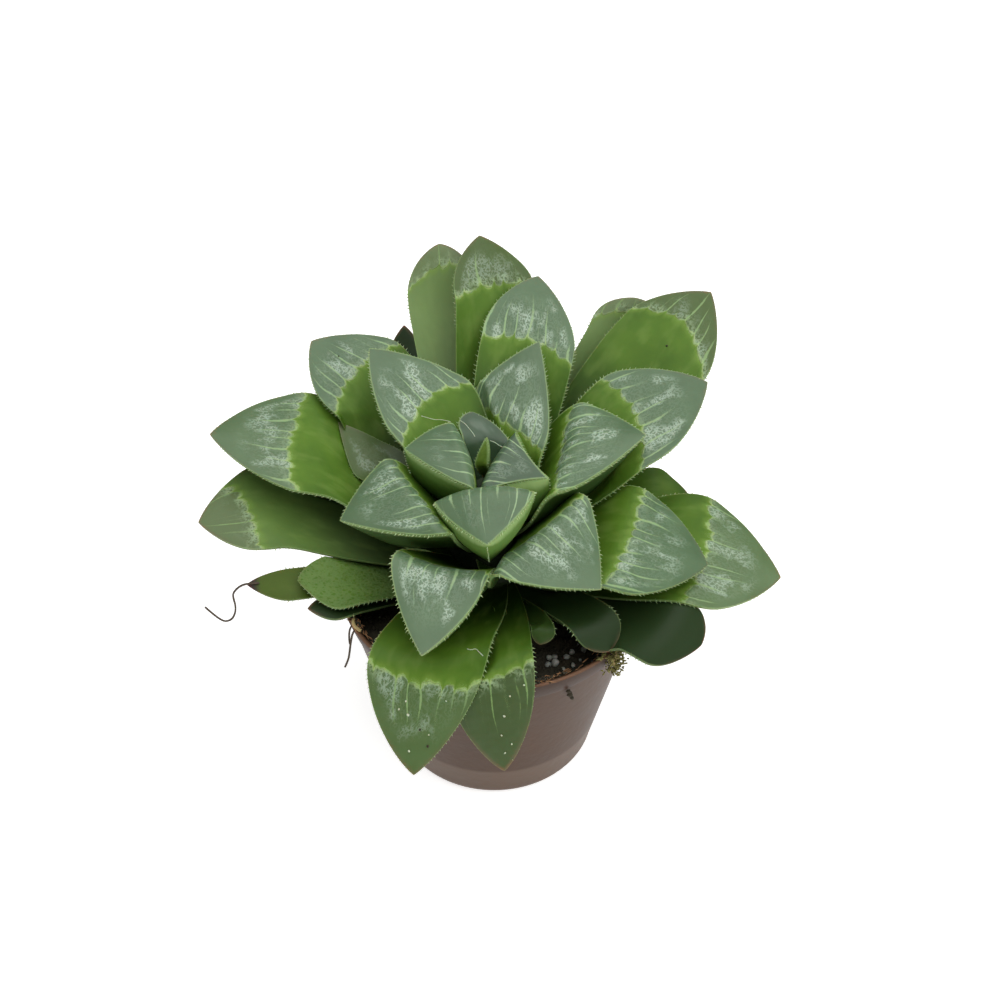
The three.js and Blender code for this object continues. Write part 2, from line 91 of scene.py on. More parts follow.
def shade(red, green, blue):
    """A colour as a node takes it, from its red, green and blue as a screen shows them, 0 to 255."""
    shown = [part / 255 for part in (red, green, blue)]
    linear = [part / 12.92 if part < 0.04045 else ((part + 0.055) / 1.055) ** 2.4 for part in shown]
    return (*linear, 1)


class Reading:
    """A number that a material's nodes work out. Sums on it add the Math nodes that they need."""

    def __init__(self, finish, socket):
        self.finish = finish
        self.socket = socket

    def maths(self, operation, first, second=0.0):
        return self.finish.node("Math", {"operation": operation}, {0: first, 1: second})

    def __add__(self, other):
        return self.maths("ADD", self, other)

    def __sub__(self, other):
        return self.maths("SUBTRACT", self, other)

    def __mul__(self, other):
        return self.maths("MULTIPLY", self, other)

    def __rsub__(self, other):
        return self.maths("SUBTRACT", other, self)

    def __pow__(self, other):
        return self.maths("POWER", self, other)

    def __abs__(self):
        return self.maths("ABSOLUTE", self)

    __radd__ = __add__
    __rmul__ = __mul__


class Finish:
    """A material, with its shader's constants and the nodes that paint its pattern."""

    def __init__(self, name, constants):
        self.material = bpy.data.materials.new(name)
        self.material.use_nodes = True
        self.tree = self.material.node_tree
        self.shader = self.tree.nodes["Principled BSDF"]
        self.feed(self.shader, constants)

    def feed(self, node, values):
        for name, value in values.items():
            if isinstance(value, Reading):
                self.tree.links.new(value.socket, node.inputs[name])
            else:
                node.inputs[name].default_value = value

    def node(self, kind, settings, values, output=0):
        """Adds a node: its settings first, then the values or links of its sockets."""
        node = self.tree.nodes.new("ShaderNode" + kind)
        for name, setting in settings.items():
            setattr(node, name, setting)
        self.feed(node, values)
        return Reading(self, node.outputs[output])

    def place(self):
        return self.node("TexCoord", {}, {}, "Object")

    def height(self):
        return self.node("SeparateXYZ", {}, {"Vector": self.place()}, "Z")

    def own(self, name):
        """A number that the piece's mesh holds at its points."""
        return self.node("Attribute", {"attribute_name": name}, {}, "Fac")

    def rises(self, value, low, high):
        """From 0 at low to 1 at high, with soft ends."""
        limits = {"Value": value, "From Min": low, "From Max": high}
        return self.node("MapRange", {"interpolation_type": "SMOOTHSTEP"}, limits)

    def grain(self, width, detail=2.0, stretch=(1, 1, 1), where=None):
        """Soft noise, 0 to 1, with lumps of about that width in metres."""
        where = self.node("Mapping", {}, {"Vector": where or self.place(), "Scale": stretch})
        return self.node("TexNoise", {}, {"Vector": where, "Scale": 1 / width, "Detail": detail})

    def luck(self, first, second, third):
        """A number from 0 to 1 drawn by chance for each set of three whole numbers."""
        drawn = self.node("CombineXYZ", {}, {"X": first, "Y": second, "Z": third})
        return self.node("TexWhiteNoise", {"noise_dimensions": "3D"}, {"Vector": drawn})

    def mix(self, share, first, second):
        return self.node("Mix", {"data_type": "RGBA"}, {0: share, 6: first, 7: second}, 2)

    def coated(self, colour, *coats):
        """A ground colour under coats of others. A coat is the share that it covers, and its colour."""
        for share, coat in coats:
            colour = self.mix(share, colour, coat)
        return colour

    def relief(self, height, depth):
        """The surface normal for a relief of that depth in metres, where height goes from 0 to 1."""
        return self.node("Bump", {}, {"Height": height, "Distance": depth})

    def paint(self, **sockets):
        self.feed(self.shader, {name.replace("_", " "): value for name, value in sockets.items()})


def only(piece):
    """Leaves this piece alone selected and active."""
    bpy.ops.object.select_all(action="DESELECT")
    piece.select_set(True)
    bpy.context.view_layer.objects.active = piece


def finished(piece, finish, slot, *nodes):
    """Gives a piece its material and its body, and lets it stand for CAD nodes. Its slot is not used."""
    piece.data.materials.clear()
    piece.data.materials.append(finish.material)
    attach(piece, "root")
    if nodes:
        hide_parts(*nodes)


def drawn_up(name, rings, sides):
    """A closed turned piece: a disc is drawn through rings of (radius, height), as on a wheel."""
    (radius, height), *rest = rings
    bpy.ops.object.select_all(action="DESELECT")
    bpy.ops.mesh.primitive_circle_add(
        vertices=sides, radius=radius, fill_type="NGON", location=(0, 0, height)
    )
    piece = bpy.context.object
    piece.name = name
    bpy.ops.object.mode_set(mode="EDIT")
    for next_radius, next_height in rest:
        lift = {"value": (0, 0, next_height - height)}
        share = next_radius / radius
        bpy.ops.mesh.extrude_region_move(TRANSFORM_OT_translate=lift)
        bpy.ops.transform.resize(value=(share, share, 1), center_override=(0, 0, next_height))
        radius, height = next_radius, next_height
    bpy.ops.mesh.select_all(action="SELECT")
    bpy.ops.mesh.normals_make_consistent(inside=False)
    bpy.ops.object.mode_set(mode="OBJECT")
    bpy.ops.object.transform_apply(location=True, rotation=True, scale=True)
    return piece


def wall_radius(z):
    slope = (RIM_RADIUS - COLLAR_PROUD - BASE_RADIUS) / POT_HEIGHT
    return BASE_RADIUS + slope * min(z, TOP_OF_WALL)


def quarter(radius, height, round_radius, steps, upwards):
    """Rings of a rounded edge, from its flat to its wall at the foot, or from wall to flat at a rim."""
    rings = []
    for step in range(steps + 1):
        angle = math.pi / 2 * step / steps
        side, end = (math.sin(angle), math.cos(angle)) if upwards else (math.cos(angle), math.sin(angle))
        z = height + round_radius * (1 - end if upwards else end - 1)
        rings.append((radius - round_radius * (1 - side), z))
    return rings


pot_rings = quarter(wall_radius(FOOT_ROUND), 0, FOOT_ROUND, 8, True)
pot_rings += [
    (wall_radius(FOOT_BAND) - FOOT_BAND_STEP, FOOT_BAND - COLLAR_STEP),
    (wall_radius(FOOT_BAND), FOOT_BAND),
    (wall_radius(TOP_OF_WALL), TOP_OF_WALL),
    (wall_radius(TOP_OF_WALL) + COLLAR_PROUD * 0.7, TOP_OF_WALL + COLLAR_STEP * 0.3),
    (wall_radius(TOP_OF_WALL) + COLLAR_PROUD, TOP_OF_WALL + COLLAR_STEP),
]
pot_rings += quarter(RIM_RADIUS, POT_HEIGHT, RIM_ROUND, 4, False)
pot_rings += [
    (RIM_RADIUS - POT_WALL, POT_HEIGHT - RIM_ROUND),
    (wall_radius(TOP_OF_WALL) + COLLAR_PROUD - POT_WALL, TOP_OF_WALL + COLLAR_STEP / 2),
    (wall_radius(TOP_OF_WALL) - POT_WALL, TOP_OF_WALL - COLLAR_STEP / 2),
    (wall_radius(FOOT_ROUND) - POT_WALL, FOOT_ROUND),
    (wall_radius(0) - FOOT_ROUND, POT_FLOOR),
]
pot = drawn_up("pot_shell", pot_rings, POT_SIDES)
for hole in range(DRAIN_HOLES):
    angle = hole / DRAIN_HOLES * 2 * math.pi
    bpy.ops.object.select_all(action="DESELECT")
    bpy.ops.mesh.primitive_cylinder_add(
        vertices=24,
        radius=DRAIN_RADIUS,
        depth=4 * POT_FLOOR,
        location=(DRAIN_CIRCLE * math.cos(angle), DRAIN_CIRCLE * math.sin(angle), 0),
    )
    drill = bpy.context.object
    cut = pot.modifiers.new("drain", "BOOLEAN")
    cut.object = drill
    only(pot)
    bpy.ops.object.modifier_apply(modifier=cut.name)
    bpy.data.objects.remove(drill)
only(pot)
bpy.ops.object.shade_smooth_by_angle(angle=POT_CREASE)

plastic = Finish("pot_plastic", {
    "Subsurface Weight": 0.08,
    "Subsurface Scale": 0.002,
    "Specular IOR Level": 0.18,
})
cloud = plastic.grain(9 * MM, 3)
streak = plastic.grain(2.2 * MM, 3, (1, 1, 0.12))
height = plastic.height()
foot_bounce_light = 1 - plastic.rises(height, FOOT_BAND - 1 * MM, FOOT_BAND + 0.3 * MM)
collar_leaf_shade = plastic.rises(height, TOP_OF_WALL - 0.6 * MM, TOP_OF_WALL + COLLAR_STEP)
lip = plastic.rises(height, POT_HEIGHT - 0.5 * MM, POT_HEIGHT - 0.1 * MM)
plastic.paint(
    Base_Color=plastic.coated(
        plastic.mix(cloud, shade(66, 45, 30), shade(84, 61, 44)),
        (streak * 0.25, shade(68, 49, 36)),
        # Painted light bounced from the floor: the wall below the foot band's step is lighter
        (foot_bounce_light * 0.5, shade(116, 98, 84)),
        # Painted shade: the collar is darker where the leaves above shade it
        (collar_leaf_shade * 0.7, shade(50, 30, 17)),
        (lip * 0.6, shade(132, 98, 74)),
    ),
    Roughness=0.36 + 0.16 * cloud,
    Normal=plastic.relief(plastic.grain(1.6 * MM, 2), 0.05 * MM),
)
finished(pot, plastic, "pot_plastic", "pot")

# The soil: dark, damp peat mix that fills the pot to a little under its rim. Its crumbs and pale
# grains of perlite lie loose on its top, with brown peat fibre along the rim.
SOIL_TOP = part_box("soil")[1].z
SOIL_LEVEL = 37 * MM
SOIL_GAP = 0.32 * MM
SOIL_RINGS = 56
SOIL_SIDES = 180
SOIL_CREASE = math.radians(50)
LUMP_HEIGHT = 0.45 * MM
LUMPS_PER_METRE = 330
CRUMB_HEIGHT = 0.16 * MM
CRUMBS_PER_METRE = 1500
CRUMBS = 900
PERLITE = 130
FIBRES = 170
chance = random.Random(7)


def soil_height(x, y):
    """The height of the soil's top: broad lumps with crumbs on them, no higher than the model's."""
    spot = Vector((x, y, 0))
    lumps = noise.fractal(spot * LUMPS_PER_METRE, 0.9, 2.1, 5)
    crumbs = noise.noise(spot * CRUMBS_PER_METRE)
    return min(SOIL_LEVEL + LUMP_HEIGHT * lumps + CRUMB_HEIGHT * crumbs, SOIL_TOP)


def loose(name, shape, places):
    """Copies of one small shape as one piece: each has a place, its sizes, a turn and a roughness."""
    bare = np.array([v.co for v in shape.data.vertices])
    faces = [tuple(f.vertices) for f in shape.data.polygons]
    points = []
    corners = []
    for place, sizes, turn, rough in places:
        jitter = 1 + rough * np.array([noise.noise(Vector(p) * 2 + place * 900) for p in bare])
        turned = (bare * jitter[:, None] * np.array(sizes)) @ np.array(turn.to_matrix()).T
        corners += [tuple(len(points) * len(bare) + c for c in face) for face in faces]
        points.append(turned + np.array(place))
    mesh = bpy.data.meshes.new(name)
    mesh.from_pydata(np.concatenate(points).tolist(), [], corners)
    piece = bpy.data.objects.new(name, mesh)
    bpy.context.scene.collection.objects.link(piece)
    bpy.data.objects.remove(shape)
    only(piece)
    bpy.ops.object.shade_smooth()
    return piece


def pebble(fineness):
    """A ball, 1 across, for crumbs and grains."""
    bpy.ops.object.select_all(action="DESELECT")
    bpy.ops.mesh.primitive_ico_sphere_add(subdivisions=fineness, radius=0.5)
    return bpy.context.object


def any_turn():
    return Vector([chance.gauss(0, 1) for _ in range(3)]).to_track_quat("Z", "Y")


def on_soil(reach):
    """A random spot on the soil's top, no farther than that from the pot's middle."""
    radius = reach * math.sqrt(chance.random())
    angle = chance.uniform(0, 2 * math.pi)
    x, y = radius * math.cos(angle), radius * math.sin(angle)
    return Vector((x, y, soil_height(x, y)))


soil_radius = wall_radius(SOIL_LEVEL) - POT_WALL - SOIL_GAP
soil_rings = [
    (wall_radius(0) - FOOT_ROUND - SOIL_GAP, POT_FLOOR + SOIL_GAP),
    (wall_radius(FOOT_ROUND) - POT_WALL - SOIL_GAP, FOOT_ROUND + SOIL_GAP),
]
soil_rings += [(soil_radius * (SOIL_RINGS - ring) / SOIL_RINGS, SOIL_LEVEL) for ring in range(SOIL_RINGS)]
soil = drawn_up("soil_bed", soil_rings, SOIL_SIDES)
for vertex in soil.data.vertices:
    if vertex.co.z > SOIL_LEVEL - MM:
        vertex.co.z = soil_height(vertex.co.x, vertex.co.y)
only(soil)
bpy.ops.object.shade_smooth_by_angle(angle=SOIL_CREASE)

earth = Finish("potting_soil", {"Specular IOR Level": 0.3})
lump = earth.grain(1.3 * MM, 4)
brown = earth.rises(earth.grain(5 * MM, 3), 0.45, 0.7)
earth_colour = earth.mix(lump, shade(20, 22, 16), shade(76, 71, 56))
earth.paint(
    Base_Color=earth.mix(brown * 0.4, earth_colour, shade(74, 58, 38)),
    Roughness=0.7 + 0.25 * lump,
    Normal=earth.relief(lump, 0.5 * MM),
)
finished(soil, earth, "potting_soil", "soil")

crumb_places = []
for _ in range(CRUMBS):
    spot = on_soil(soil_radius - 0.8 * MM)
    size = chance.uniform(0.35, 1.3) * MM
    sizes = [size * chance.uniform(0.7, 1.2) for _ in range(3)]
    crumb_places.append((spot, sizes, any_turn(), 0.5))
finished(loose("soil_crumbs", pebble(1), crumb_places), earth, "potting_soil")

perlite = Finish("perlite", {"Subsurface Weight": 0.1, "Subsurface Scale": 0.001})
pit = perlite.grain(0.35 * MM, 3)
perlite.paint(
    Base_Color=perlite.mix(perlite.grain(1.5 * MM, 2), shade(112, 116, 108), shade(200, 200, 190)),
    Roughness=0.6 + 0.3 * pit,
    Normal=perlite.relief(pit, 0.15 * MM),
)
grain_places = []
for _ in range(PERLITE):
    spot = on_soil(soil_radius - 1.2 * MM)
    size = chance.choice((0.5, 0.7, 0.9, 1.5)) * MM * chance.uniform(0.8, 1.2)
    sizes = [size * chance.uniform(0.75, 1.15) for _ in range(3)]
    grain_places.append((spot, sizes, any_turn(), 0.35))
finished(loose("perlite_grains", pebble(2), grain_places), perlite, "potting_soil")


def mottled(name, constants, width, dark, light, dullness, grit):
    """A finish with lumps of two colours, of about that width, and a finer grit that dulls it."""
    finish = Finish(name, constants)
    least, more = dullness
    finish.paint(
        Base_Color=finish.mix(finish.grain(width, 2), shade(*dark), shade(*light)),
        Roughness=least + more * finish.grain(grit, 2),
    )
    return finish


PEAT_COLOURS = ((92, 56, 32), (196, 150, 108))
fibre = mottled("peat_fibre", {"Specular IOR Level": 0.3}, 0.9 * MM, *PEAT_COLOURS, (0.7, 0.2), 0.5 * MM)
fibre_places = []
for _ in range(FIBRES):
    angle = chance.uniform(0, 2 * math.pi)
    radius = RIM_RADIUS - POT_WALL - chance.uniform(0.35, 2.6) * MM
    x, y = radius * math.cos(angle), radius * math.sin(angle)
    lift = chance.uniform(0, 0.6) * MM if radius < soil_radius else chance.uniform(2.5, 4.2) * MM
    spot = Vector((x, y, min(SOIL_LEVEL + lift, POT_HEIGHT)))
    along_rim = Vector((-y, x, 0)).normalized() * chance.choice((-1, 1))
    lie = along_rim + Vector((0, 0, chance.uniform(-0.3, 0.3)))
    sizes = (0.22 * MM, 0.3 * MM, chance.uniform(0.7, 2.4) * MM)
    fibre_places.append((spot, sizes, lie.to_track_quat("Z", "Y"), 0.3))
finished(loose("peat_fibres", pebble(1), fibre_places), fibre, "potting_soil")

# The stem: short and thick and rooted in the soil, its skin painted dark green as the shade between the leaf
# bases. The leaves grow from it and hide nearly all of it, so it stays the model's own solid and only gets
# its skin here.
stem_shade_skin = Finish("stem_skin", {})
ring_mark = stem_shade_skin.grain(1.2 * MM, 3, (0.3, 0.3, 1))
stem_shade_skin.paint(
    # Painted shade: the skin is dark green as the shade between the leaf bases
    Base_Color=stem_shade_skin.mix(ring_mark, shade(24, 40, 12), shade(46, 66, 24)),
    Roughness=0.5 + 0.3 * ring_mark,
    Normal=stem_shade_skin.relief(ring_mark, 0.3 * MM),
)
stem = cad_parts["stem"]
stem.data.materials.clear()
stem.data.materials.append(stem_shade_skin.material)

# The leaves: thick, watery, three-sided blades that clasp the stem. Each rises bright green to its
# shoulder and ends in a flat window: glassy grey-green skin with pale lines that start at a scalloped
# border. The back is a smooth keel, and small pale teeth stand along both margins.
AXIS = np.array([-1, 3, 0]) * MM
HEART_RADIUS = 10 * MM
STEM_NECK_RADIUS = 2.6 * MM
FOOT_WIDTH = 0.34
FOOT_DEPTH = 2.4 * MM
RISE_FULLNESS = 0.72
TIP_SHARPEST = 1.35
TIP_ROUNDING = 0.27
KEEL_TAPER = 1.6
KEEL_FULLNESS = 1.5
KEEL_PLUMPNESS = 1.1
FLANK_BULGE = 1.3 * MM
SHOULDER_SOFTNESS = 0.06
BACK_SOFTNESS = 0.9
SHOULDER_TWIST = 0.12
BACK_TWIST = 0.5
RISE_HOLLOW = 1.6 * MM
HOLLOW_LOSS = 3.9
YOUNG_BLUNTNESS = 0.67
WINDOW_CROWN = 0.5 * MM
NARROW_HALF = 6 * MM
MARGIN_THICKNESS = 0.5 * MM
RISE_ROWS = 30
WINDOW_ROWS = 46
UPPER_COLUMNS = 44
LOWER_COLUMNS = 24
SEAM = 0.002 * MM
LEAF_CREASE = math.radians(38)
LINE_PITCH = 2.9 * MM
LINE_SUNK = 0.06 * MM
LINE_SWAY = 0.17
LINE_WAVER = 0.07
TOOTH_LENGTH = 0.65 * MM
TOOTH_BASE = 0.4 * MM
TOOTH_ROOT = 0.25 * MM
TOOTH_PITCH = 0.85 * MM
TOOTH_SMALLEST = 0.15
TOOTH_LEAN = 0.5
TOOTH_SCATTER = 0.22
TOOTH_POINTS = 7
SPINE_HEIGHT = 0.6
SPINE_ELBOW = 0.55
SPINE_HOOK = 0.22
FIRST_TOOTH = (0.45, 0.9)
FREE_GIVE = 0.1 * MM
BROAD_HALF = 5 * MM
EDGE_STEP = 0.2 * MM
KEEL_STEPS = 200
KEEL_TEETH_FROM = 0.35
KEEL_TOOTH_SIZE = 0.5
NO_WINDOW = (60, 60, 60)
ALL_WINDOW = (-60, -60, -60)
PRESS_REACH = 9 * MM
PRESS_ROOM = 0.4 * MM
PRESS_GAP = 0.15 * MM
PRESS_CROSSINGS = 8
RAY_STEP = 0.01 * MM
DENT_SLOPE = 0.7
DENT_SPREADS = 40
THINNEST = 0.9 * MM
LEAF_LIFT = 0.3 * MM
RIM_INSIDE = RIM_RADIUS - 1.3 * MM
RIM_OUTSIDE = RIM_RADIUS + 0.6 * MM

# Each leaf, from the heart outwards, in millimetres: the left and right corners of its shoulder and
# its tip, the height of its foot on the stem and the depth of its keel. Then how full the sides of
# its window are, how blunt its keel is, how far past the shoulder its window starts at the left
# margin, in the middle and at the right margin, and its age from 0 to 1.
LEAVES = {
    "bud": ((-3.4, 1.6, 68.5), (-1.1, 1.1, 68.5), (-1.2, 2.4, 73.7), 61, 2, 1.6, 0.3, NO_WINDOW, 0),
    "heart_back": ((-6, 9.5, 69), (3, 10, 67), (-4, 13.6, 71.3), 59, 4, 2.3, 0.6, ALL_WINDOW, 0.1),
    "heart_left": ((-3.5, -6.5, 69), (-7.5, 10.5, 71), (-16.5, 5, 69), 57, 4.6, 1.4, 1.1, (0, -1, 0), 0),
    "heart_right": ((4, 8, 71), (-2.6, -6, 67.3), (10, -2.2, 67.8), 56, 3.6, 0.8, 1.1, (0, -1, 0), 0),
    "heart_front": (
        (7.2, -10, 71.3), (-10.5, -7.8, 67), (-1, -19.5, 67), 55, 4, 1.4, 1.3, (0.4, -1.3, 0.3), 0,
    ),
    "inner_upper_left": (
        (-18, 11, 66), (-5, 27, 69), (-25, 33, 73), 52, 8, 1.65, 0.4, (-0.2, 3.7, 0.6), 0.1,
    ),
    "inner_back": ((-4, 24, 69), (10, 10, 66), (9, 31, 76), 53, 8, 1.4, 0.4, (-0.9, -0.6, -0.9), 0.1),
    "inner_right": ((17, 21, 68), (12, -4, 66), (29, 12, 67), 51, 9, 1.4, 0.7, (-0.7, -2.2, -0.1), 0.1),
    "inner_left": ((-8, -14, 65), (-20, 6, 66), (-28, -6, 61), 50, 8, 1.4, 0.8, (0, -0.4, -0.9), 0.1),
    "inner_front": (
        (-1, -20.3, 60.2), (-18, -15, 60), (-12, -34, 55), 42.5, 8, 1.5, 0.5, (-0.3, -2.6, -1.5), 0.15,
    ),
    "inner_front_right": (
        (17, -3, 64), (0, -20.5, 61.7), (19, -20, 57), 48, 8, 1.35, 0.5, (0, -1.8, -0.5), 0.15,
    ),
    "middle_small": ((-27, 12.5, 56), (-20, 19.5, 58), (-31.5, 25.5, 60.3), 49, 4, 1.3, 0, ALL_WINDOW, 0.7),
    "middle_back": ((-2, 36, 76), (16, 31, 73), (9, 46, 82), 49, 6, 1.9, 0.2, (-1.5, 1, -2.5), 0.3),
    "middle_upper_left": (
        (-32, 26, 62), (-20, 44, 67), (-38, 42, 69), 43.5, 7, 1.9, 0.2, (1.2, 3.6, 0.8), 0.3,
    ),
    "middle_left": ((-33, 5, 58), (-38, 33, 62), (-56, 19, 62), 45, 8, 1.8, 0.2, (5.7, 5.3, 1.5), 0.4),
    "middle_upper_right": (
        (22.5, 26.5, 71), (30.5, 10, 62), (41.5, 22.5, 72), 47, 7, 1.8, 0.2, (-0.8, 2.1, -2.2), 0.3,
    ),
    "middle_right": ((28, 7, 58), (21, -18, 55), (40, -7, 51), 45, 7, 1.8, 0.2, (1.5, 1.6, -1.2), 0.35),
    "outer_upper_right": ((27, 41, 76), (41, 25, 70), (44, 43, 80), 45, 6, 1.8, 0, (3, 7.5, 1.2), 0.7),
    "outer_back_right": ((20, 43, 73), (34, 43, 71), (29, 46, 77), 43, 5, 2.8, 0, (1.5, 4, 3.5), 0.8),
    "outer_back": ((-8, 43, 80), (8, 49, 79), (-3, 52, 88), 45, 5, 1.8, 0, (-1, 1.5, -0.5), 0.7),
    "outer_back_left": ((-18, 48, 75), (-4, 49, 77), (-11.5, 55, 84.5), 43, 5, 2.4, 0, (2.5, 6.8, 6), 0.78),
    "outer_left": ((-42, 0, 49), (-48, 19, 54), (-57, 4, 52), 42.5, 6, 1.8, 0, (3.4, 4, 8), 0.84),
    "outer_right": ((42, 13, 51), (36, -13.5, 47), (55, -4, 45), 42, 6, 1.8, 0, (1.5, 2.7, -0.5), 0.48),
    "outer_front": ((-1, -28, 49), (-22, -28, 48), (-14, -40, 31), 41.5, 4.5, 1.8, 0, (6.3, 5.8, 1.2), 0.6),
    "outer_front_right": ((7, -28, 48), (-9, -29.5, 46), (2, -37.5, 29), 42, 3, 2, 0, (1.3, 3.2, 4.5), 0.88),
    "basal_front_stub": (
        (11.3, -21.5, 48.3), (7, -21, 49), (8.3, -22.5, 45.8), 44, 3, 2.4, 0, NO_WINDOW, 0.95,
    ),
    "basal_front_round": (
        (22.3, -19, 50), (14.5, -22.5, 48.5), (20.7, -23.5, 45), 43, 3, 2.4, 0, NO_WINDOW, 1,
    ),
    "basal_front_finger": ((2.6, -17, 50), (0.4, -17, 50), (0, -18.5, 46), 44, 1.6, 1.8, 0, NO_WINDOW, 0.9),
    "basal_right": ((36, -13, 47), (26, -27, 46), (38, -20, 43), 39.5, 4, 2.4, 0, NO_WINDOW, 1),
    "basal_left": ((-28, -13, 45), (-32, -2, 48), (-37, -7, 47), 41.5, 3, 1.8, 0, NO_WINDOW, 0.4),
    "basal_left_dry": ((-38, -9, 43.5), (-39, -3, 46), (-47, -6, 45), 41, 2.2, 1.8, 0, NO_WINDOW, 0.9),
    "basal_left_low": ((-28, -14, 43.5), (-30, -7, 44), (-35, -11, 43.5), 39.5, 1.6, 1.8, 0, NO_WINDOW, 1),
    "basal_back_right": ((33, 21, 52), (29, 8, 50), (41, 16, 46), 41, 4, 1.8, 0, NO_WINDOW, 0.9),
    "basal_upper_back": ((-24, 52, 56), (-16, 52, 58), (-20, 58, 63), 41, 4, 1.8, 0, NO_WINDOW, 1),
    "hidden_left_back": ((-32, 7, 45), (-27, 20, 46), (-40, 18, 42), 40, 4, 1.8, 0, (2, 3, 2), 0.9),
    "hidden_back_left": ((-26, 22, 47), (-15, 31, 48), (-29, 37, 45), 40, 4, 1.8, 0, (2, 3, 2), 0.9),
    "hidden_back": ((-13, 31, 48), (1, 34, 49), (-9, 48, 46), 40.5, 4, 1.8, 0, (2, 3, 2), 0.9),
    "hidden_back_right": ((4, 33, 47), (17, 28, 48), (16, 45, 43), 40, 4, 1.8, 0, (2, 3, 2), 0.9),
    "hidden_right_back": ((18, 28, 46), (27, 17, 46), (32, 31, 41), 40, 4, 1.8, 0, (2, 3, 2), 0.9),
}


def unit(vectors):
    return vectors / np.linalg.norm(vectors, axis=-1, keepdims=True)


def smooth(x):
    x = np.clip(x, 0, 1)
    return x * x * (3 - 2 * x)


def between(first, second, share):
    return first + (second - first) * share


class Leaf:
    """The form of one leaf. A share t goes from 0 at its foot to 1 at its tip, and the side v goes
    from -1 at its right margin to 1 at its left one."""

    def __init__(self, number, left, right, tip, foot_height, depth, fullness, bluntness, border, age):
        left, right, self.tip = (np.array(corner) * MM for corner in (left, right, tip))
        self.number = number
        self.depth = depth * MM
        self.fullness = fullness
        self.bluntness = bluntness
        self.hollow = RISE_HOLLOW * (1 - HOLLOW_LOSS * max(0, bluntness - YOUNG_BLUNTNESS))
        self.border = np.array(border) * MM
        self.age = age
        shoulder = (left + right) / 2
        self.breadth = np.linalg.norm(left - right)
        self.across = unit(left - right)
        reach = (shoulder + self.tip) / 2 * (1, 1, 0) - AXIS
        outward = unit(np.array([self.across[1], -self.across[0], 0]) + reach / HEART_RADIUS)
        self.foot = AXIS + (0, 0, foot_height * MM) + outward * STEM_NECK_RADIUS
        self.foot_across = np.array([-outward[1], outward[0], 0])
        self.rise = shoulder - self.foot
        self.run = self.tip - shoulder
        self.length = np.linalg.norm(self.rise) + np.linalg.norm(self.run)
        self.turn = np.linalg.norm(self.rise) / self.length
        self.rise_normal = unit(np.cross(self.rise, self.across))
        self.window_normal = unit(np.cross(self.run, self.across))

    def middle(self, t, soft):
        """The leaf's middle line, with a parabola of that softness at its corner."""
        beyond = np.maximum(0, t - self.turn)
        corner = (t - self.turn + soft) ** 2 / (4 * soft)
        beyond = np.where(abs(t - self.turn) < soft, corner, beyond)
        rise = self.rise * ((t - beyond) / self.turn)[..., None]
        return self.foot + rise + self.run * (beyond / (1 - self.turn))[..., None]

    def past(self, t):
        """How far t lies along the window, from 0 at the shoulder to 1 at the tip."""
        return np.clip((t - self.turn) / (1 - self.turn), 0, 1)

    def half(self, t):
        risen = np.sin(math.pi / 2 * np.clip(t / self.turn, 0, 1)) ** RISE_FULLNESS
        sharpness = TIP_SHARPEST - TIP_ROUNDING * self.fullness
        window = (1 - self.past(t) ** self.fullness) ** sharpness
        return self.breadth / 2 * np.where(t < self.turn, between(FOOT_WIDTH, 1, risen), window)

    def normal(self, t, twist):
        turned = smooth((t - self.turn) / (2 * twist) + 0.5)[..., None]
        return unit(between(self.rise_normal, self.window_normal, turned))

    def sideways(self, t):
        return unit(between(self.foot_across, self.across, smooth(t / self.turn)[..., None]))

    def upper(self, t, v):
        """Points of the upper face: hollow below the shoulder, and crowned on the window, where the
        skin is drawn in a little along each pale line. The youngest leaves bulge all over."""
        half = self.half(t)
        turned = smooth((t - self.turn) / (2 * SHOULDER_TWIST) + 0.5)
        cup = between(self.hollow, -WINDOW_CROWN, turned) * np.minimum(1, half / NARROW_HALF)
        swell = np.maximum(0, -cup) if self.hollow < 0 else 0
        lift = cup * v * v + swell + MARGIN_THICKNESS / 2 * (1 - self.past(t) ** 4)
        near_line = np.cos(math.pi * self.lines(t, v)) ** 6
        sunk = near_line * smooth(self.beyond(t, v)) * (1 - self.past(t)) * (1 - v * v)
        soft = min(SHOULDER_SOFTNESS, 0.6 * (1 - self.turn))
        flat = self.middle(t, soft) + self.sideways(t) * (v * half)[..., None]
        return flat + self.normal(t, SHOULDER_TWIST) * (lift - LINE_SUNK * sunk)[..., None]

    def lower(self, t, v):
        """Points of the back, from the margin to the keel, which is blunt on the youngest leaves."""
        thin = MARGIN_THICKNESS * (1 - self.past(t) ** 4)
        edge = self.upper(t, np.sign(v) + 0.0 * t) - self.normal(t, SHOULDER_TWIST) * thin[..., None]
        deep = between(FOOT_DEPTH, self.depth, smooth(t / self.turn)) * (1 - self.past(t) ** KEEL_TAPER)
        soft = BACK_SOFTNESS * min(self.turn, 1 - self.turn)
        down = self.normal(t, BACK_TWIST)
        keel = self.middle(t, soft) - down * deep[..., None]
        blunt = self.foot + self.run * (t * (2 - t))[..., None] + self.rise * (t * t)[..., None]
        keel = between(keel, blunt, self.bluntness) - down * thin[..., None]
        share = 1 - abs(v) ** (KEEL_FULLNESS + KEEL_PLUMPNESS * self.bluntness)
        bulge = FLANK_BULGE * self.bluntness * 4 * share * (1 - share) * np.sqrt(1 - self.past(t) ** 2)
        flank = between(edge, keel, share[..., None])
        return flank + self.sideways(t) * (np.sign(v) * bulge * smooth(t / self.turn))[..., None]

    def beyond(self, t, v):
        """How far a point lies inside the window, in millimetres from its border."""
        left, middle, right = self.border
        start = middle + (left - right) / 2 * v + ((left + right) / 2 - middle) * v * v
        return ((t - self.turn) * self.length - start) / MM

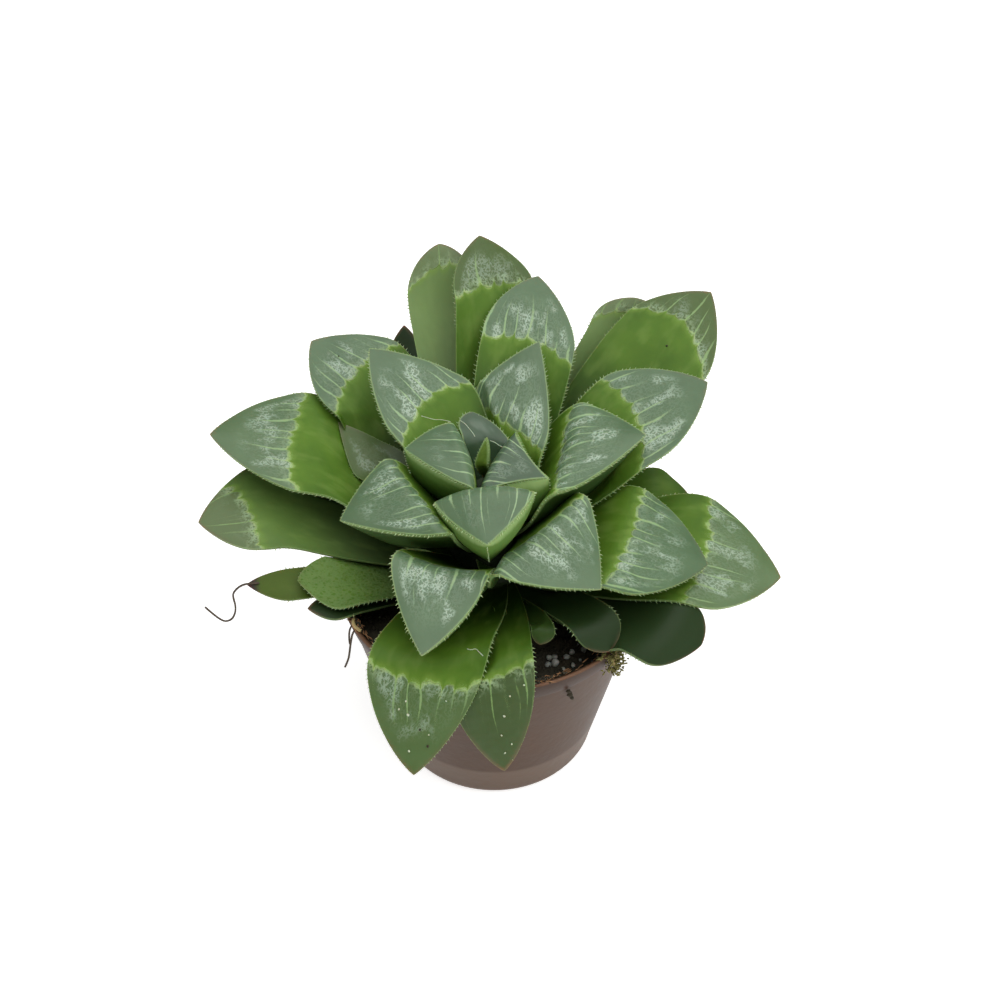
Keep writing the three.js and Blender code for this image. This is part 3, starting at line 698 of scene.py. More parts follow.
    def lines(self, t, v):
        """Which pale line a point lies on or between: lines run towards the tip and draw together."""
        x = v * np.sqrt(self.half(t) * self.breadth / 2) / LINE_PITCH
        along = (t - self.turn) * self.length / MM
        sway = LINE_SWAY * np.sin(2.1 * x + 5 * self.number)
        waver = LINE_WAVER * np.sin(along / 1.7 + 2 * x + 3 * self.number)
        return x + (sway + waver)


def pressed_down(leaf, t, upper, lower, neighbours):
    """How far each point of the upper face gives way to the leaves that lie on it. A ray goes down
    through the leaf, and the point is pressed to where the ray leaves another leaf, unless that
    leaf begins only below this one. The dent spreads with soft sides."""
    down = -leaf.normal(t, BACK_TWIST)
    thick = np.linalg.norm(upper - lower, axis=-1)
    give = np.zeros(t.shape)
    for spot in np.ndindex(t.shape):
        for tree in neighbours:
            start, travelled = Vector(upper[spot]), 0.0
            way = Vector(down[spot])
            for _ in range(PRESS_CROSSINGS):
                hit, face, _, distance = tree.ray_cast(start, way, PRESS_REACH - travelled)
                if hit is None:
                    break
                travelled += distance + RAY_STEP
                start = hit + way * RAY_STEP
                if face.dot(way) > 0:
                    give[spot] = max(give[spot], travelled + PRESS_GAP)
                elif travelled > thick[spot] + PRESS_ROOM:
                    break
    steps = [np.linalg.norm(np.diff(upper, axis=axis), axis=-1) * DENT_SLOPE for axis in (0, 1)]
    for _ in range(DENT_SPREADS):
        give[1:] = np.maximum(give[1:], give[:-1] - steps[0])
        give[:-1] = np.maximum(give[:-1], give[1:] - steps[0])
        give[:, 1:] = np.maximum(give[:, 1:], give[:, :-1] - steps[1])
        give[:, :-1] = np.maximum(give[:, :-1], give[:, 1:] - steps[1])
    return give, down


def write_facts(mesh, facts):
    """Writes what the leaf's finish reads to the mesh: a number for each point, or one for all."""
    for fact, values in facts.items():
        attribute = mesh.attributes.new(fact, "FLOAT", "POINT")
        attribute.data.foreach_set("value", np.full(len(mesh.vertices), values, np.float32))


def skin(name, leaf, neighbours):
    """The closed skin of a leaf: a grid is laid round it from margin to margin, and sewn up."""
    round_columns = UPPER_COLUMNS + LOWER_COLUMNS + 2
    rows = RISE_ROWS + WINDOW_ROWS
    bpy.ops.object.select_all(action="DESELECT")
    bpy.ops.mesh.primitive_grid_add(x_subdivisions=round_columns, y_subdivisions=rows, size=1)
    piece = bpy.context.object
    piece.name = name
    flat = np.zeros(len(piece.data.vertices) * 3, np.float32)
    piece.data.vertices.foreach_get("co", flat)
    flat = flat.reshape(-1, 3) + 0.5
    column = np.rint(flat[:, 0] * round_columns) % round_columns
    row = np.rint(flat[:, 1] * rows)
    rising = leaf.turn * np.sin(math.pi / 2 * np.clip(row / RISE_ROWS, 0, 1))
    window = (1 - np.cos(math.pi * np.clip((row - RISE_ROWS) / WINDOW_ROWS, 0, 1))) / 2
    t = np.where(row < RISE_ROWS, rising, leaf.turn + (1 - leaf.turn) * window)
    above = column <= UPPER_COLUMNS
    back_column = column - UPPER_COLUMNS - 1
    v = np.where(above, 2 * column / UPPER_COLUMNS - 1, 1 - 2 * back_column / LOWER_COLUMNS)
    v = np.sin(math.pi / 2 * v)
    points = np.where(above[:, None], leaf.upper(t, v), leaf.lower(t, v))

    # Where leaves lie on it, the leaf is squeezed down to a thin blade, and then bends away
    grid = (rows + 1, round_columns + 1)
    face = np.s_[:, : UPPER_COLUMNS + 1]
    t_face, v_face = t.reshape(grid)[face], v.reshape(grid)[face]
    upper_face, lower_face = leaf.upper(t_face, v_face), leaf.lower(t_face, v_face)
    give, down = pressed_down(leaf, t_face, upper_face, lower_face, neighbours)
    give_round = np.array([np.interp(*level) for level in zip(v.reshape(grid), v_face, give)]).ravel()
    thick = np.linalg.norm(leaf.upper(t, v) - leaf.lower(t, v), axis=-1)
    give_below = np.maximum(0, give_round - np.maximum(0, thick - THINNEST))
    way = np.repeat(down[:, :1], grid[1], axis=1).reshape(-1, 3)
    points += way * np.where(above, give_round, give_below)[:, None]

    # Away from its foot it lies on the soil and on the pot's rim and doesn't sink into them
    reach = np.hypot(points[:, 0], points[:, 1])
    rest_on = np.where(reach < RIM_INSIDE, SOIL_TOP, POT_HEIGHT) + LEAF_LIFT
    held = (reach < RIM_OUTSIDE) & (t > 0.5 * leaf.turn)
    points[:, 2] = np.where(held, np.maximum(points[:, 2], rest_on), points[:, 2])
    points[row == 0] = leaf.foot
    rounds, gives = points.reshape(*grid, 3), give_round.reshape(grid)
    margins = [
        (side, (rounds[:, upper] + rounds[:, below]) / 2, t_face[:, 0], gives[:, upper])
        for side, upper, below in ((1, UPPER_COLUMNS, UPPER_COLUMNS + 1), (-1, 0, round_columns - 1))
    ]
    piece.data.vertices.foreach_set("co", points.astype(np.float32).ravel())
    write_facts(piece.data, {
        "beyond": leaf.beyond(t, v),
        "line": leaf.lines(t, v),
        "rim": (1 - abs(v)) * leaf.half(t) / MM,
        "side": v * leaf.half(t) / MM,
        "along": (t - leaf.turn) * leaf.length / MM,
        "upper": above,
        "past": leaf.past(t),
        "risen": t / leaf.turn,
        "age": leaf.age,
        "number": leaf.number,
    })
    bpy.ops.object.mode_set(mode="EDIT")
    bpy.ops.mesh.select_all(action="SELECT")
    bpy.ops.mesh.remove_doubles(threshold=SEAM)
    bpy.ops.mesh.normals_make_consistent(inside=False)
    bpy.ops.object.mode_set(mode="OBJECT")
    bpy.ops.object.shade_smooth_by_angle(angle=LEAF_CREASE)
    return piece, margins


def spine(root, out, along, up, length, base):
    """The points of one tooth: a three-sided spine that bends a little towards the leaf's tip."""
    top = up * SPINE_HEIGHT
    corners = [(-along - top) / 2, (along - top) / 2, top]
    bent = root + out * length * SPINE_ELBOW + along * length * 0.05
    points = [root + corner * base for corner in corners]
    points += [bent + corner * base * 0.5 for corner in corners]
    return points + [root + out * length + along * length * SPINE_HOOK]


def margin_teeth(leaf, edge, normals, sizes, side):
    """Teeth along one edge of a leaf, an uneven pitch apart, and closer on the youngest leaves."""
    points = []
    spacing = 0.75 + 0.25 * min(1, leaf.age * 6)
    travel = np.concatenate([[0], np.cumsum(np.linalg.norm(np.diff(edge, axis=0), axis=1))])
    at = chance.uniform(0, 1) * TOOTH_PITCH
    while at < travel[-1] - EDGE_STEP:
        here, ahead, up = (
            np.array([np.interp(reach, travel, track[:, part]) for part in range(3)])
            for reach, track in ((at, edge), (at + EDGE_STEP, edge), (at, normals))
        )
        along = unit(ahead - here)
        out = np.cross(up, along) * side
        out = unit(out + along * chance.uniform(0, TOOTH_LEAN) + up * chance.gauss(0, TOOTH_SCATTER))
        size = float(np.interp(at, travel, sizes)) * chance.uniform(0.6, 1.15)
        if size > TOOTH_SMALLEST:
            length = TOOTH_LENGTH * size + TOOTH_ROOT
            base = TOOTH_BASE * max(0.6, min(1, size))
            points += spine(here - out * TOOTH_ROOT, out, along, up, length, base)
        at += TOOTH_PITCH * chance.uniform(0.7, 1.35) * spacing
    return points


def teeth(leaf, margins):
    """The points of all teeth of a leaf: along both margins where they are free, and down the keel
    where it is blunt."""
    first = between(*FIRST_TOOTH, float(smooth(leaf.age * 1.1)))
    points = []
    for side, edge, t, give in margins:
        broad = np.minimum(1, 0.4 + leaf.half(t) / BROAD_HALF)
        grown = 0.8 + 0.2 * min(1, 8 * leaf.age)
        worn = 0.9 * leaf.age * smooth(leaf.past(t) * 2.2)
        free = (t > first * leaf.turn) & (t < 0.99) & (give < FREE_GIVE)
        sizes = broad * grown * (1 - worn) * free
        points += margin_teeth(leaf, edge, leaf.normal(t, SHOULDER_TWIST), sizes, side)
    if leaf.bluntness > 1:
        t = np.linspace(1, leaf.turn + KEEL_TEETH_FROM * (1 - leaf.turn), KEEL_STEPS)
        keel = leaf.lower(t, 0 * t)
        sizes = np.full(KEEL_STEPS, KEEL_TOOTH_SIZE)
        points += margin_teeth(leaf, keel, np.tile(leaf.across, (KEEL_STEPS, 1)), sizes, 1)
    return np.array(points).reshape(-1, 3)


def toothed(piece, leaf, margins):
    """Joins a leaf's teeth to its skin."""
    points = teeth(leaf, margins)
    if not len(points):
        return piece
    faces = []
    for first in range(0, len(points), TOOTH_POINTS):
        tip = first + TOOTH_POINTS - 1
        faces.append((first, first + 2, first + 1))
        for corner in range(3):
            low, next_low = first + corner, first + (corner + 1) % 3
            faces += [(low, next_low, next_low + 3, low + 3), (low + 3, next_low + 3, tip)]
    mesh = bpy.data.meshes.new("teeth")
    mesh.from_pydata(points.tolist(), [], faces)
    write_facts(mesh, {
        "beyond": -9,
        "line": 0.5,
        "rim": -1,
        "side": 0,
        "along": 0,
        "upper": 1,
        "past": 0,
        "risen": 1,
        "age": leaf.age,
        "number": leaf.number,
    })
    row_of_teeth = bpy.data.objects.new("teeth", mesh)
    bpy.context.scene.collection.objects.link(row_of_teeth)
    only(row_of_teeth)
    bpy.ops.object.mode_set(mode="EDIT")
    bpy.ops.mesh.select_all(action="SELECT")
    bpy.ops.mesh.normals_make_consistent(inside=False)
    bpy.ops.object.mode_set(mode="OBJECT")
    only(piece)
    row_of_teeth.select_set(True)
    bpy.ops.object.join()
    return piece


# Leaves whose skin is unlike the others': two in the heart that are painted darker as shade, and low on the
# left a dry one and a warty one
ODD_NAMES = ("heart_back", "heart_right", "basal_left_dry", "basal_left")
ODD_LEAVES = [list(LEAVES).index(name) for name in ODD_NAMES]


def leaf_skin():
    flesh = Finish("leaf_flesh", {
        "Subsurface Weight": 0.12,
        "Subsurface Scale": 0.002,
        "Specular IOR Level": 0.2,
        "Coat Roughness": 0.3,
    })
    facts = ("rim", "past", "risen", "upper", "age", "number", "line")
    rim, past, risen, upper, age, number, line = (flesh.own(fact) for fact in facts)
    # The first two are painted shade, on the back and right leaves of the heart
    dark, heart_right_shade, dry, warty = (1 - flesh.rises(abs(number - odd), 0.1, 0.4) for odd in ODD_LEAVES)
    spot = {"X": flesh.own("side") * MM, "Y": flesh.own("along") * MM, "Z": number}
    on_leaf = flesh.node("CombineXYZ", {}, spot)
    broad = flesh.grain(6 * MM, 3, where=on_leaf)
    fine = flesh.grain(0.9 * MM, 3, where=on_leaf)
    streak = flesh.grain(2.4 * MM, 2, (1, 0.4, 1), on_leaf)
    grit = flesh.grain(0.6 * MM, 2, (1, 0.7, 1), on_leaf)
    patch = flesh.rises(flesh.grain(4 * MM, 2, (1, 0.55, 1), on_leaf), 0.48, 0.62)
    soft = flesh.grain(2.4 * MM, 1, where=on_leaf)
    broken = flesh.rises(flesh.grain(2.2 * MM, 2, where=on_leaf), 0.36, 0.62)
    crinkle = 1 - abs(2 * grit - 1)

    # The window's border bulges unevenly towards the foot between two pale lines
    cell = line.maths("FLOOR", line)
    nearest = line.maths("ROUND", line)
    within = line - cell
    lobe = (1 - (2 * within - 1) ** 2) ** 0.5
    bulge = lobe * (0.55 + 1.1 * flesh.luck(cell, number, 3))
    inside = flesh.own("beyond") + bulge + 1.1 * (fine - 0.5) + 0.4 * (grit - 0.5)
    window = flesh.rises(inside, -0.1, 0.12) * upper
    border = (1 - flesh.rises(abs(inside - 0.1), 0.08, 0.34 + 0.26 * broken)) * upper
    glow = flesh.rises(inside, -1.8, 0.1) * (1 - window) * upper
    near = (1 - flesh.rises(inside, 0.6, 3.2)) * window

    # The pale lines start at the border, and are of all lengths
    luck = flesh.luck(nearest, number, 0)
    apart = abs(line - nearest) * (LINE_PITCH / MM)
    reach = 2.5 + 10 * luck
    fade = 1 - flesh.rises(inside, reach * 0.4, reach)
    width = 0.05 + 0.14 * fade
    vein = (1 - flesh.rises(apart + 0.3 * (grit - 0.5), width * 0.5, width + 0.06)) * fade * window
    vein = vein * (1 - flesh.rises(age - luck, 0.1, 0.5))
    thin_line = 1 - flesh.rises(abs(within - 0.5) * (LINE_PITCH / MM) + 0.3 * (fine - 0.5), 0.02, 0.14)
    thin_line = thin_line * flesh.rises(flesh.luck(cell, number, 9), 0.5, 0.7) * window
    thin_line = thin_line * flesh.rises(inside, 0.5, 2) * (1 - flesh.rises(past, 0.4, 0.7)) * broken

    # Glints of the crinkled skin, in patches between the border and the middle of the window: pale papillae
    # tips, with painted highlights on them
    clear = flesh.rises(rim, 1.0, 2.4) * window * (1 - flesh.rises(past, 0.45, 0.8))
    clear = clear * (1 - flesh.rises(age, 0.6, 0.9)) * (0.2 + 0.8 * flesh.rises(age, 0.02, 0.1))
    painted_glint = flesh.rises(crinkle, 0.8, 0.96) * (0.12 + 0.88 * patch) * clear * (1 - 0.7 * age)
    pale = near * flesh.rises(crinkle, 0.7, 0.95) * age * broken

    # The flesh, which dulls with age, and has a pale painted sheen like a veil on some of the older leaves
    sheen_veil = flesh.rises(age, 0.72, 0.78) * (1 - flesh.rises(age, 0.82, 0.86))
    rise_colour = flesh.coated(
        flesh.mix(broad, shade(60, 94, 12), shade(98, 134, 40)),
        # Painted shade: the rise darkens towards its foot, deep between the other leaves
        (flesh.rises(risen, 0.95, 0.45), shade(38, 64, 4)),
        # Lighter streaks: partly the flesh's own mottling, partly painted sheen
        (flesh.rises(streak, 0.45, 0.75) * 0.3, shade(122, 150, 70)),
        (flesh.rises(rim, 3.5, 0) * 0.35, shade(50, 84, 12)),
        (sheen_veil * 0.5, shade(132, 154, 104)),
        # The oldest, lowest leaves are dark: partly their dull old flesh, partly painted shade from the
        # leaves above them
        (flesh.rises(age, 0.85, 1), shade(35, 54, 23)),
    )
    window_colour = flesh.coated(
        flesh.mix(broad, shade(70, 97, 64), shade(98, 124, 88)),
        (flesh.rises(age, 0.5, 0.7), shade(62, 86, 38)),
        # Darker windows on the oldest leaves: partly dull old flesh, partly painted shade
        (flesh.rises(age, 0.8, 0.9), shade(42, 62, 36)),
        (flesh.rises(age, 0.35, 0.45) * 0.25, shade(100, 122, 50)),
        # Painted sheen: the same pale veil over the windows of some older leaves
        (sheen_veil * 0.5, shade(132, 150, 108)),
        # Painted shade on the back and right leaves of the heart
        (dark * 0.7 + heart_right_shade * 0.6, shade(46, 70, 48)),
        # Painted sheen: the window is lighter in the patches where the glints gather
        (patch * clear * 0.15, shade(136, 160, 134)),
    )
    back_colour = flesh.coated(
        flesh.mix(broad, shade(38, 60, 20), shade(58, 84, 34)),
        # Painted light: the youngest leaves' backs are lighter, as light falling on their flanks
        (flesh.rises(age, 0.1, 0), shade(88, 120, 52)),
    )

    # What lies over the flesh: glints painted over pale papillae, and lines, pale margins, rust at old tips,
    # and the teeth
    line_colour = flesh.mix(age, shade(156, 184, 136), shade(124, 156, 86))
    edge_width = 0.5 - 0.28 * flesh.rises(age, 0, 0.3)
    margin = 1 - flesh.rises(rim + 0.2 * (grit - 0.5), 0.02, edge_width)
    rust = flesh.rises(past, 0.4, 1.0) * age * (1 - flesh.rises(rim, 0.1, 1.1))
    bright_bud = flesh.rises(number, 0.9, 0.1)
    tooth = flesh.rises(rim, -0.2, -0.8)
    colour = flesh.coated(
        flesh.mix(upper, back_colour, flesh.mix(window, rise_colour, window_colour)),
        (glow * 0.5, shade(122, 154, 62)),
        # Painted glints, kept off the heart's shaded back leaf
        (painted_glint * (1 - dark) * 0.65, shade(190, 210, 188)),
        (pale * 0.7, shade(170, 194, 150)),
        (thin_line * 0.4, line_colour),
        (vein * 0.85, line_colour),
        (border * (0.45 + 0.45 * broken) * (1 - 0.3 * age), shade(164, 192, 116)),
        (margin * (0.7 - 0.45 * age), shade(150, 178, 112)),
        (rust * 0.6, shade(106, 88, 68)),
        (bright_bud * (1 - margin) * 0.8, flesh.mix(fine, shade(66, 96, 26), shade(132, 158, 66))),
        (dry * 0.6, shade(76, 90, 24)),
        (dry * flesh.rises(past, 0.66, 0.86), shade(52, 46, 40)),
        # The warty leaf's knobs are pale: partly pale papillae, partly painted glints
        (warty * 0.35 * flesh.rises(crinkle, 0.6, 0.9), shade(128, 154, 96)),
        (tooth * (0.9 - 0.3 * age), shade(186, 206, 156)),
    )
    relief = soft * window + crinkle * clear * (0.1 + 0.3 * patch) + fine * 0.1 + warty * grit
    flesh.paint(
        Base_Color=colour,
        Roughness=0.5 - 0.1 * window + 0.1 * broad,
        Coat_Weight=0.04 + window * (0.5 + 0.5 * patch * clear) * (1 - 0.6 * age),
        Normal=flesh.relief(relief, 0.22 * MM),
    )
    return flesh


flesh = leaf_skin()
leaf_forms = {name: Leaf(number, *facts) for number, (name, facts) in enumerate(LEAVES.items())}
inner_trees = []
for name, leaf in leaf_forms.items():
    piece, margins = skin(f"leaf_{name}_skin", leaf, inner_trees)
    points = [tuple(vertex.co) for vertex in piece.data.vertices]
    faces = [tuple(face.vertices) for face in piece.data.polygons]
    inner_trees.append(BVHTree.FromPolygons(points, faces))
    finished(toothed(piece, leaf, margins), flesh, "leaf_flesh", f"leaf_{name}")

# Litter: moss and crumbs have spilled over the pot's rim at the right, brown peat lies on the rim at
# the left and in front. At the front are large perlite grains, and three crumbs on the pot's wall.
# Heights and sizes are in millimetres, and bearings in degrees round the pot.
MOSS_TUFTS = 260
MOSS_SPREAD = 7
MOSS_TOP = 42.7
MOSS_FALL = 6
LITTER_CRUMBS = 90
CRUMB_LEVEL = 42.2
RIM_FIBRES = 60
FIBRE_LEVEL = 42.1
RIGHT_HEAP = -43
LEFT_HEAP = 206
FRONT_HEAP = -71
STUCK_CRUMBS = (0.9, 1.2, 0.8)
STUCK_BEARING = -62
STUCK_LEVEL = 36.9


def on_rim(degrees, out, z):
    """A place beside the pot's rim: its bearing, how far outside the rim's edge, and its height."""
    angle = math.radians(degrees)
    reach = RIM_RADIUS + out * MM
    return Vector((reach * math.cos(angle), reach * math.sin(angle), z * MM))


MOSS_COLOURS = ((88, 80, 52), (150, 146, 84))
moss = mottled("moss", {"Specular IOR Level": 0.2}, 1.1 * MM, *MOSS_COLOURS, (0.8, 0.1), 0.6 * MM)
tufts = []
for _ in range(MOSS_TUFTS):
    fall = chance.random() ** 1.5
    bearing = RIGHT_HEAP + chance.gauss(0, 0.5) * MOSS_SPREAD * (1 - 0.7 * fall)
    place = on_rim(bearing, chance.uniform(-0.7, 2), MOSS_TOP - MOSS_FALL * fall)
    sizes = (0.3 * MM, 0.35 * MM, chance.uniform(0.5, 1.3) * MM)
    tufts.append((place, sizes, any_turn(), 0.4))
finished(loose("rim_moss", pebble(1), tufts), moss, "potting_soil")

litter = []
for _ in range(LITTER_CRUMBS):
    bearing, width = chance.choice(((RIGHT_HEAP, 5), (LEFT_HEAP, 6), (FRONT_HEAP, 6)))
    bearing += chance.gauss(0, 0.5) * width
    place = on_rim(bearing, -1.4 + abs(chance.gauss(0, 0.5)), CRUMB_LEVEL)
    place.z -= max(0, math.hypot(place.x, place.y) - RIM_RADIUS + 0.2 * MM) * 2
    size = chance.uniform(0.3, 0.9) * MM
    litter.append((place, (size, size * chance.uniform(0.6, 1), size * 0.7), any_turn(), 0.5))
for step, size in enumerate(STUCK_CRUMBS):
    place = on_rim(STUCK_BEARING + step * 0.8, -0.85, STUCK_LEVEL - 1.1 * step)
    litter.append((place, [size * MM] * 3, any_turn(), 0.5))
finished(loose("rim_crumbs", pebble(1), litter), earth, "potting_soil")

rim_peat = []
heaps = ((RIGHT_HEAP, 6), (LEFT_HEAP, 9), (LEFT_HEAP + 1, 6), (FRONT_HEAP, 8))
for _ in range(RIM_FIBRES):
    bearing, width = chance.choice(heaps)
    bearing += chance.gauss(0, 0.5) * width
    place = on_rim(bearing, -1.6 + abs(chance.gauss(0, 0.6)), FIBRE_LEVEL)
    lie = on_rim(bearing + 90, 0, 0) + on_rim(bearing, 0, 0) * chance.uniform(-0.8, 0.8)
    sizes = (0.16 * MM, 0.22 * MM, chance.uniform(1, 3.4) * MM)
    rim_peat.append((place, sizes, lie.to_track_quat("Z", "Y"), 0.3))
finished(loose("rim_fibres", pebble(1), rim_peat), fibre, "potting_soil")

LARGE_PERLITE = (
    (11.4, -19.3, 1.7), (10.4, -17.5, 1.0), (13.7, -17.5, 1.1), (14.7, -16.5, 1.2), (17.0, -15.5, 1.1),
    (14.8, -19.5, 1.0), (12.9, -20.5, 0.9), (18.7, -18.8, 1.0), (16.2, -18.2, 0.7),
)
large_grains = []
for x, y, size in LARGE_PERLITE:
    place = Vector((x * MM, y * MM, soil_height(x * MM, y * MM) + 0.25 * size * MM))
    sizes = [size * MM * chance.uniform(0.8, 1.1) for _ in range(3)]
    large_grains.append((place, sizes, any_turn(), 0.35))
finished(loose("perlite_lumps", pebble(3), large_grains), perlite, "potting_soil")

# Threads: dry roots hang from the pot's rim and from the dead tip of a low leaf, and fine pale
# hairs lie across the heart. Each is a round strand through a row of places in millimetres.
THREAD_CREASE = math.radians(60)


def strands(name, thickness, rows):
    bpy.ops.object.select_all(action="DESELECT")
    bpy.ops.curve.primitive_nurbs_path_add()
    piece = bpy.context.object
    piece.name = name
    curve = piece.data
    curve.splines.clear()
    for row in rows:
        strand = curve.splines.new("NURBS")
        strand.points.add(len(row) - 1)
        for point, place in zip(strand.points, row):
            point.co = (*(part * MM for part in place), 1)
        strand.use_endpoint_u = True
        strand.order_u = 3
        strand.resolution_u = 6
    curve.bevel_depth = thickness / 2
    curve.bevel_resolution = 1
    curve.use_fill_caps = True
    bpy.ops.object.convert(target="MESH")
    bpy.ops.object.shade_smooth_by_angle(angle=THREAD_CREASE)
    return bpy.context.object


ROOT_COLOURS = ((58, 50, 44), (104, 90, 74))
root_skin = mottled("dry_root", {"Specular IOR Level": 0.3}, 2 * MM, *ROOT_COLOURS, (0.7, 0.2), 0.4 * MM)
dry_thread = (
    (-44.6, -6, 45.4), (-46.8, -6, 45.3), (-48.4, -6, 44.6), (-49.9, -6.2, 43.0), (-49.9, -6.4, 41.5),
    (-49.8, -6.2, 39.8), (-50.1, -6, 37.7), (-50.9, -6, 35.9), (-51.9, -6, 35.2), (-52.9, -6, 35.2),
    (-54.5, -6, 37.0), (-55.8, -6, 39.0),
)
finished(strands("dry_thread", 0.42 * MM, [dry_thread]), root_skin, "stem_tissue")
hanging_roots = [
    (
        (-25.2, -14.4, 42.2), (-26.2, -15.0, 41.8), (-26.8, -15.6, 39), (-27.1, -16.4, 37),
        (-27.4, -16.7, 35.6), (-28.1, -17, 34),
    ),
    ((-25.6, -12.4, 42.3), (-26.5, -13.6, 42), (-27.2, -14.6, 40.6), (-27.0, -15.4, 38.6)),
]
finished(strands("rim_roots", 0.4 * MM, hanging_roots), root_skin, "stem_tissue")

THIN_SKIN = {"Subsurface Weight": 0.1, "Subsurface Scale": 0.001}
PALE_COLOURS = ((150, 124, 74), (196, 176, 120))
pale_skin = mottled("pale_root", THIN_SKIN, 1.5 * MM, *PALE_COLOURS, (0.6, 0.2), 0.4 * MM)
pale_roots = [
    ((-26.2, -12.6, 42.4), (-26.3, -13.8, 42.6), (-25.6, -15.0, 42.4), (-24.6, -15.6, 42.2)),
    ((21.0, -20.6, 42.4), (21.9, -20.9, 42.6), (22.3, -21.6, 41.6), (22.0, -22.0, 40.2)),
]
finished(strands("pale_roots", 0.7 * MM, pale_roots), pale_skin, "stem_tissue")

WOOL = {"Subsurface Weight": 0.2, "Subsurface Scale": 0.001}
WOOL_COLOURS = ((176, 186, 150), (214, 220, 196))
wool = mottled("pale_hair", WOOL, 2 * MM, *WOOL_COLOURS, (0.5, 0.2), 0.5 * MM)
heart_hairs = [
    (
        (-13.6, 12.4, 71.2), (-12.2, 11.2, 71.6), (-11.0, 10.6, 71.6), (-9.6, 11.0, 71.4),
        (-8.0, 10.4, 71.3),
    ),
    ((-6.2, 9.6, 72.2), (-5.2, 8.4, 72.3), (-4.6, 7.2, 72.2), (-3.8, 5.8, 72.2), (-3.4, 4.6, 72.2)),
    ((-0.6, 3.6, 72.0), (0.1, 3.0, 72.2), (0.8, 2.4, 72.0), (1.6, 2.2, 71.6)),
]
finished(strands("heart_hairs", 0.11 * MM, heart_hairs), wool, "leaf_flesh")

# Dust: pale grains of grit and a few dark specks lie on the windows, and one curled fibre on the
# front leaf. Each rests on its leaf at a share of the way to the tip and of the way to the side.
LIGHT_SPECKS = {
    "outer_front": (
        (0.768, -0.47), (0.741, -0.32), (0.789, -0.28), (0.915, -0.32), (0.745, 0.47), (0.86, 0.3),
    ),
    "outer_front_right": (
        (0.686, 0.75), (0.718, 0.41), (0.789, 0.23), (0.93, 0.19), (0.86, 0.1), (0.9, 0.5),
    ),
}
DARK_SPECKS = {
    "outer_front": ((0.842, 0.03), (0.9, 0.4)),
    "middle_upper_left": ((0.883, -0.05),),
    "outer_upper_right": ((0.777, -0.02),),
}
CURL = ((0.56, 0.61), (0.568, 0.68), (0.562, 0.76), (0.58, 0.84), (0.594, 0.92))
SPECK_LIFT = 0.08 * MM


def resting_on(name, t, v):
    leaf, t, v = leaf_forms[name], np.array(t), np.array(v)
    return Vector(leaf.upper(t, v)) + Vector(leaf.normal(t, SHOULDER_TWIST)) * SPECK_LIFT


for kind, specks, finish in (("light", LIGHT_SPECKS, wool), ("dark", DARK_SPECKS, earth)):
    dust = []
    for name, spots in specks.items():
        for t, v in spots:
            size = chance.uniform(0.35, 0.6) * MM
            dust.append((resting_on(name, t, v), (size, size * 0.8, size * 0.7), any_turn(), 0.3))
    finished(loose(f"{kind}_specks", pebble(2), dust), finish, "potting_soil")
curl = [resting_on("outer_front", t, v) / MM for t, v in CURL]
finished(strands("curled_fibre", 0.16 * MM, [curl]), wool, "leaf_flesh")

# The floor, the light and the camera: a pale studio floor before a white backdrop that sheds no
# light, one large soft light straight above, a weaker one from the front on the right, and the
# photograph's view from above the front.
CAMERA_PLACE = Vector((1.2, -179, 209)) * MM
CAMERA_PITCH = math.radians(39.6)
CAMERA_LENS = 45
CAMERA_SENSOR = 36
FLOOR_SIZE = 6
BACKDROP_RADIUS = 2.9

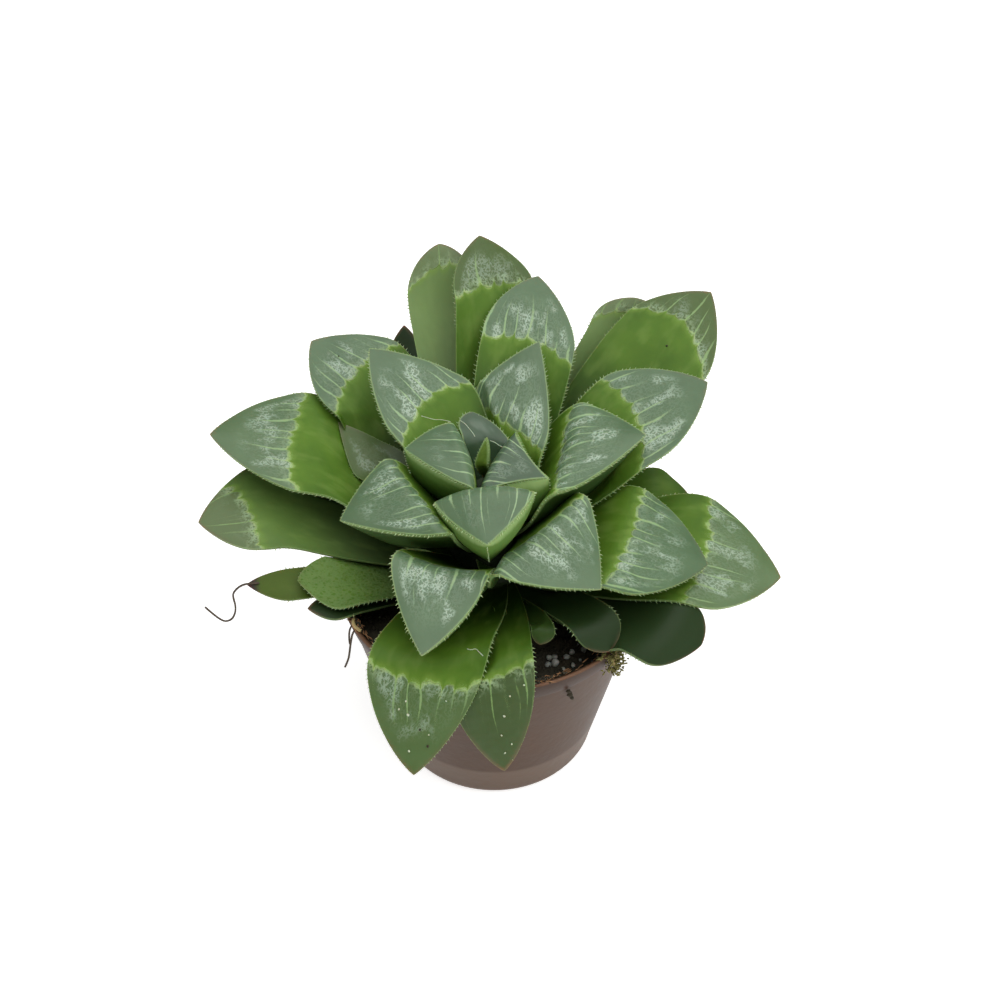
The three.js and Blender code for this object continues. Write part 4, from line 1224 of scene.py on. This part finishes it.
bpy.ops.object.select_all(action="DESELECT")
bpy.ops.mesh.primitive_plane_add(size=FLOOR_SIZE)
floor = bpy.context.object
floor.name = "floor"
paper = Finish("floor_paper", {
    "Base Color": (0.85, 0.85, 0.85, 1),
    "Roughness": 0.9,
    "Specular IOR Level": 0.1,
    "Emission Color": (1, 1, 1, 1),
    "Emission Strength": 0.7,
})
floor.data.materials.append(paper.material)
floor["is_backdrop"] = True

bpy.ops.object.select_all(action="DESELECT")
bpy.ops.mesh.primitive_uv_sphere_add(segments=64, ring_count=32, radius=BACKDROP_RADIUS)
backdrop = bpy.context.object
backdrop.name = "backdrop"
backdrop_white = Finish("backdrop_white", {
    "Base Color": (0, 0, 0, 1),
    "Specular IOR Level": 0,
    "Emission Color": (1, 1, 1, 1),
    "Emission Strength": 1,
})
backdrop_white.material.cycles.emission_sampling = "NONE"
backdrop.data.materials.append(backdrop_white.material)
backdrop.visible_diffuse = False
backdrop.visible_glossy = False
backdrop.visible_transmission = False
backdrop.visible_shadow = False
backdrop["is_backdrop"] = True


def soft_light(name, place, aim, size, power):
    light = bpy.data.lights.new(name, "AREA")
    light.shape = "DISK"
    light.size = size
    light.energy = power
    lamp = bpy.data.objects.new(name, light)
    lamp.location = place
    lamp.rotation_euler = (Vector(aim) - Vector(place)).to_track_quat("-Z", "Y").to_euler()
    bpy.context.scene.collection.objects.link(lamp)


middle_of_plant = (0, 0, 0.05)
soft_light("key_light", (0.06, 0.06, 0.8), middle_of_plant, 1.3, 7)
soft_light("fill_light", (0.5, -0.5, 0.55), middle_of_plant, 0.7, 2)

scene = bpy.context.scene
world = bpy.data.worlds.new("studio")
world.use_nodes = True
world.node_tree.nodes["Background"].inputs["Color"].default_value = (1, 1, 1, 1)
world.node_tree.nodes["Background"].inputs["Strength"].default_value = 0.25
scene.world = world
scene.view_settings.view_transform = "Standard"

lens = bpy.data.cameras.new("camera")
lens.lens = CAMERA_LENS
lens.sensor_width = CAMERA_SENSOR
lens.clip_start = 1 * MM
camera = bpy.data.objects.new("camera", lens)
camera.location = CAMERA_PLACE
camera.rotation_euler = (math.pi / 2 - CAMERA_PITCH, 0, 0)
scene.collection.objects.link(camera)
scene.camera = camera

sizes = {"cad": [list(corner) for corner in cad_box], "visual": [list(corner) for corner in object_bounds()]}
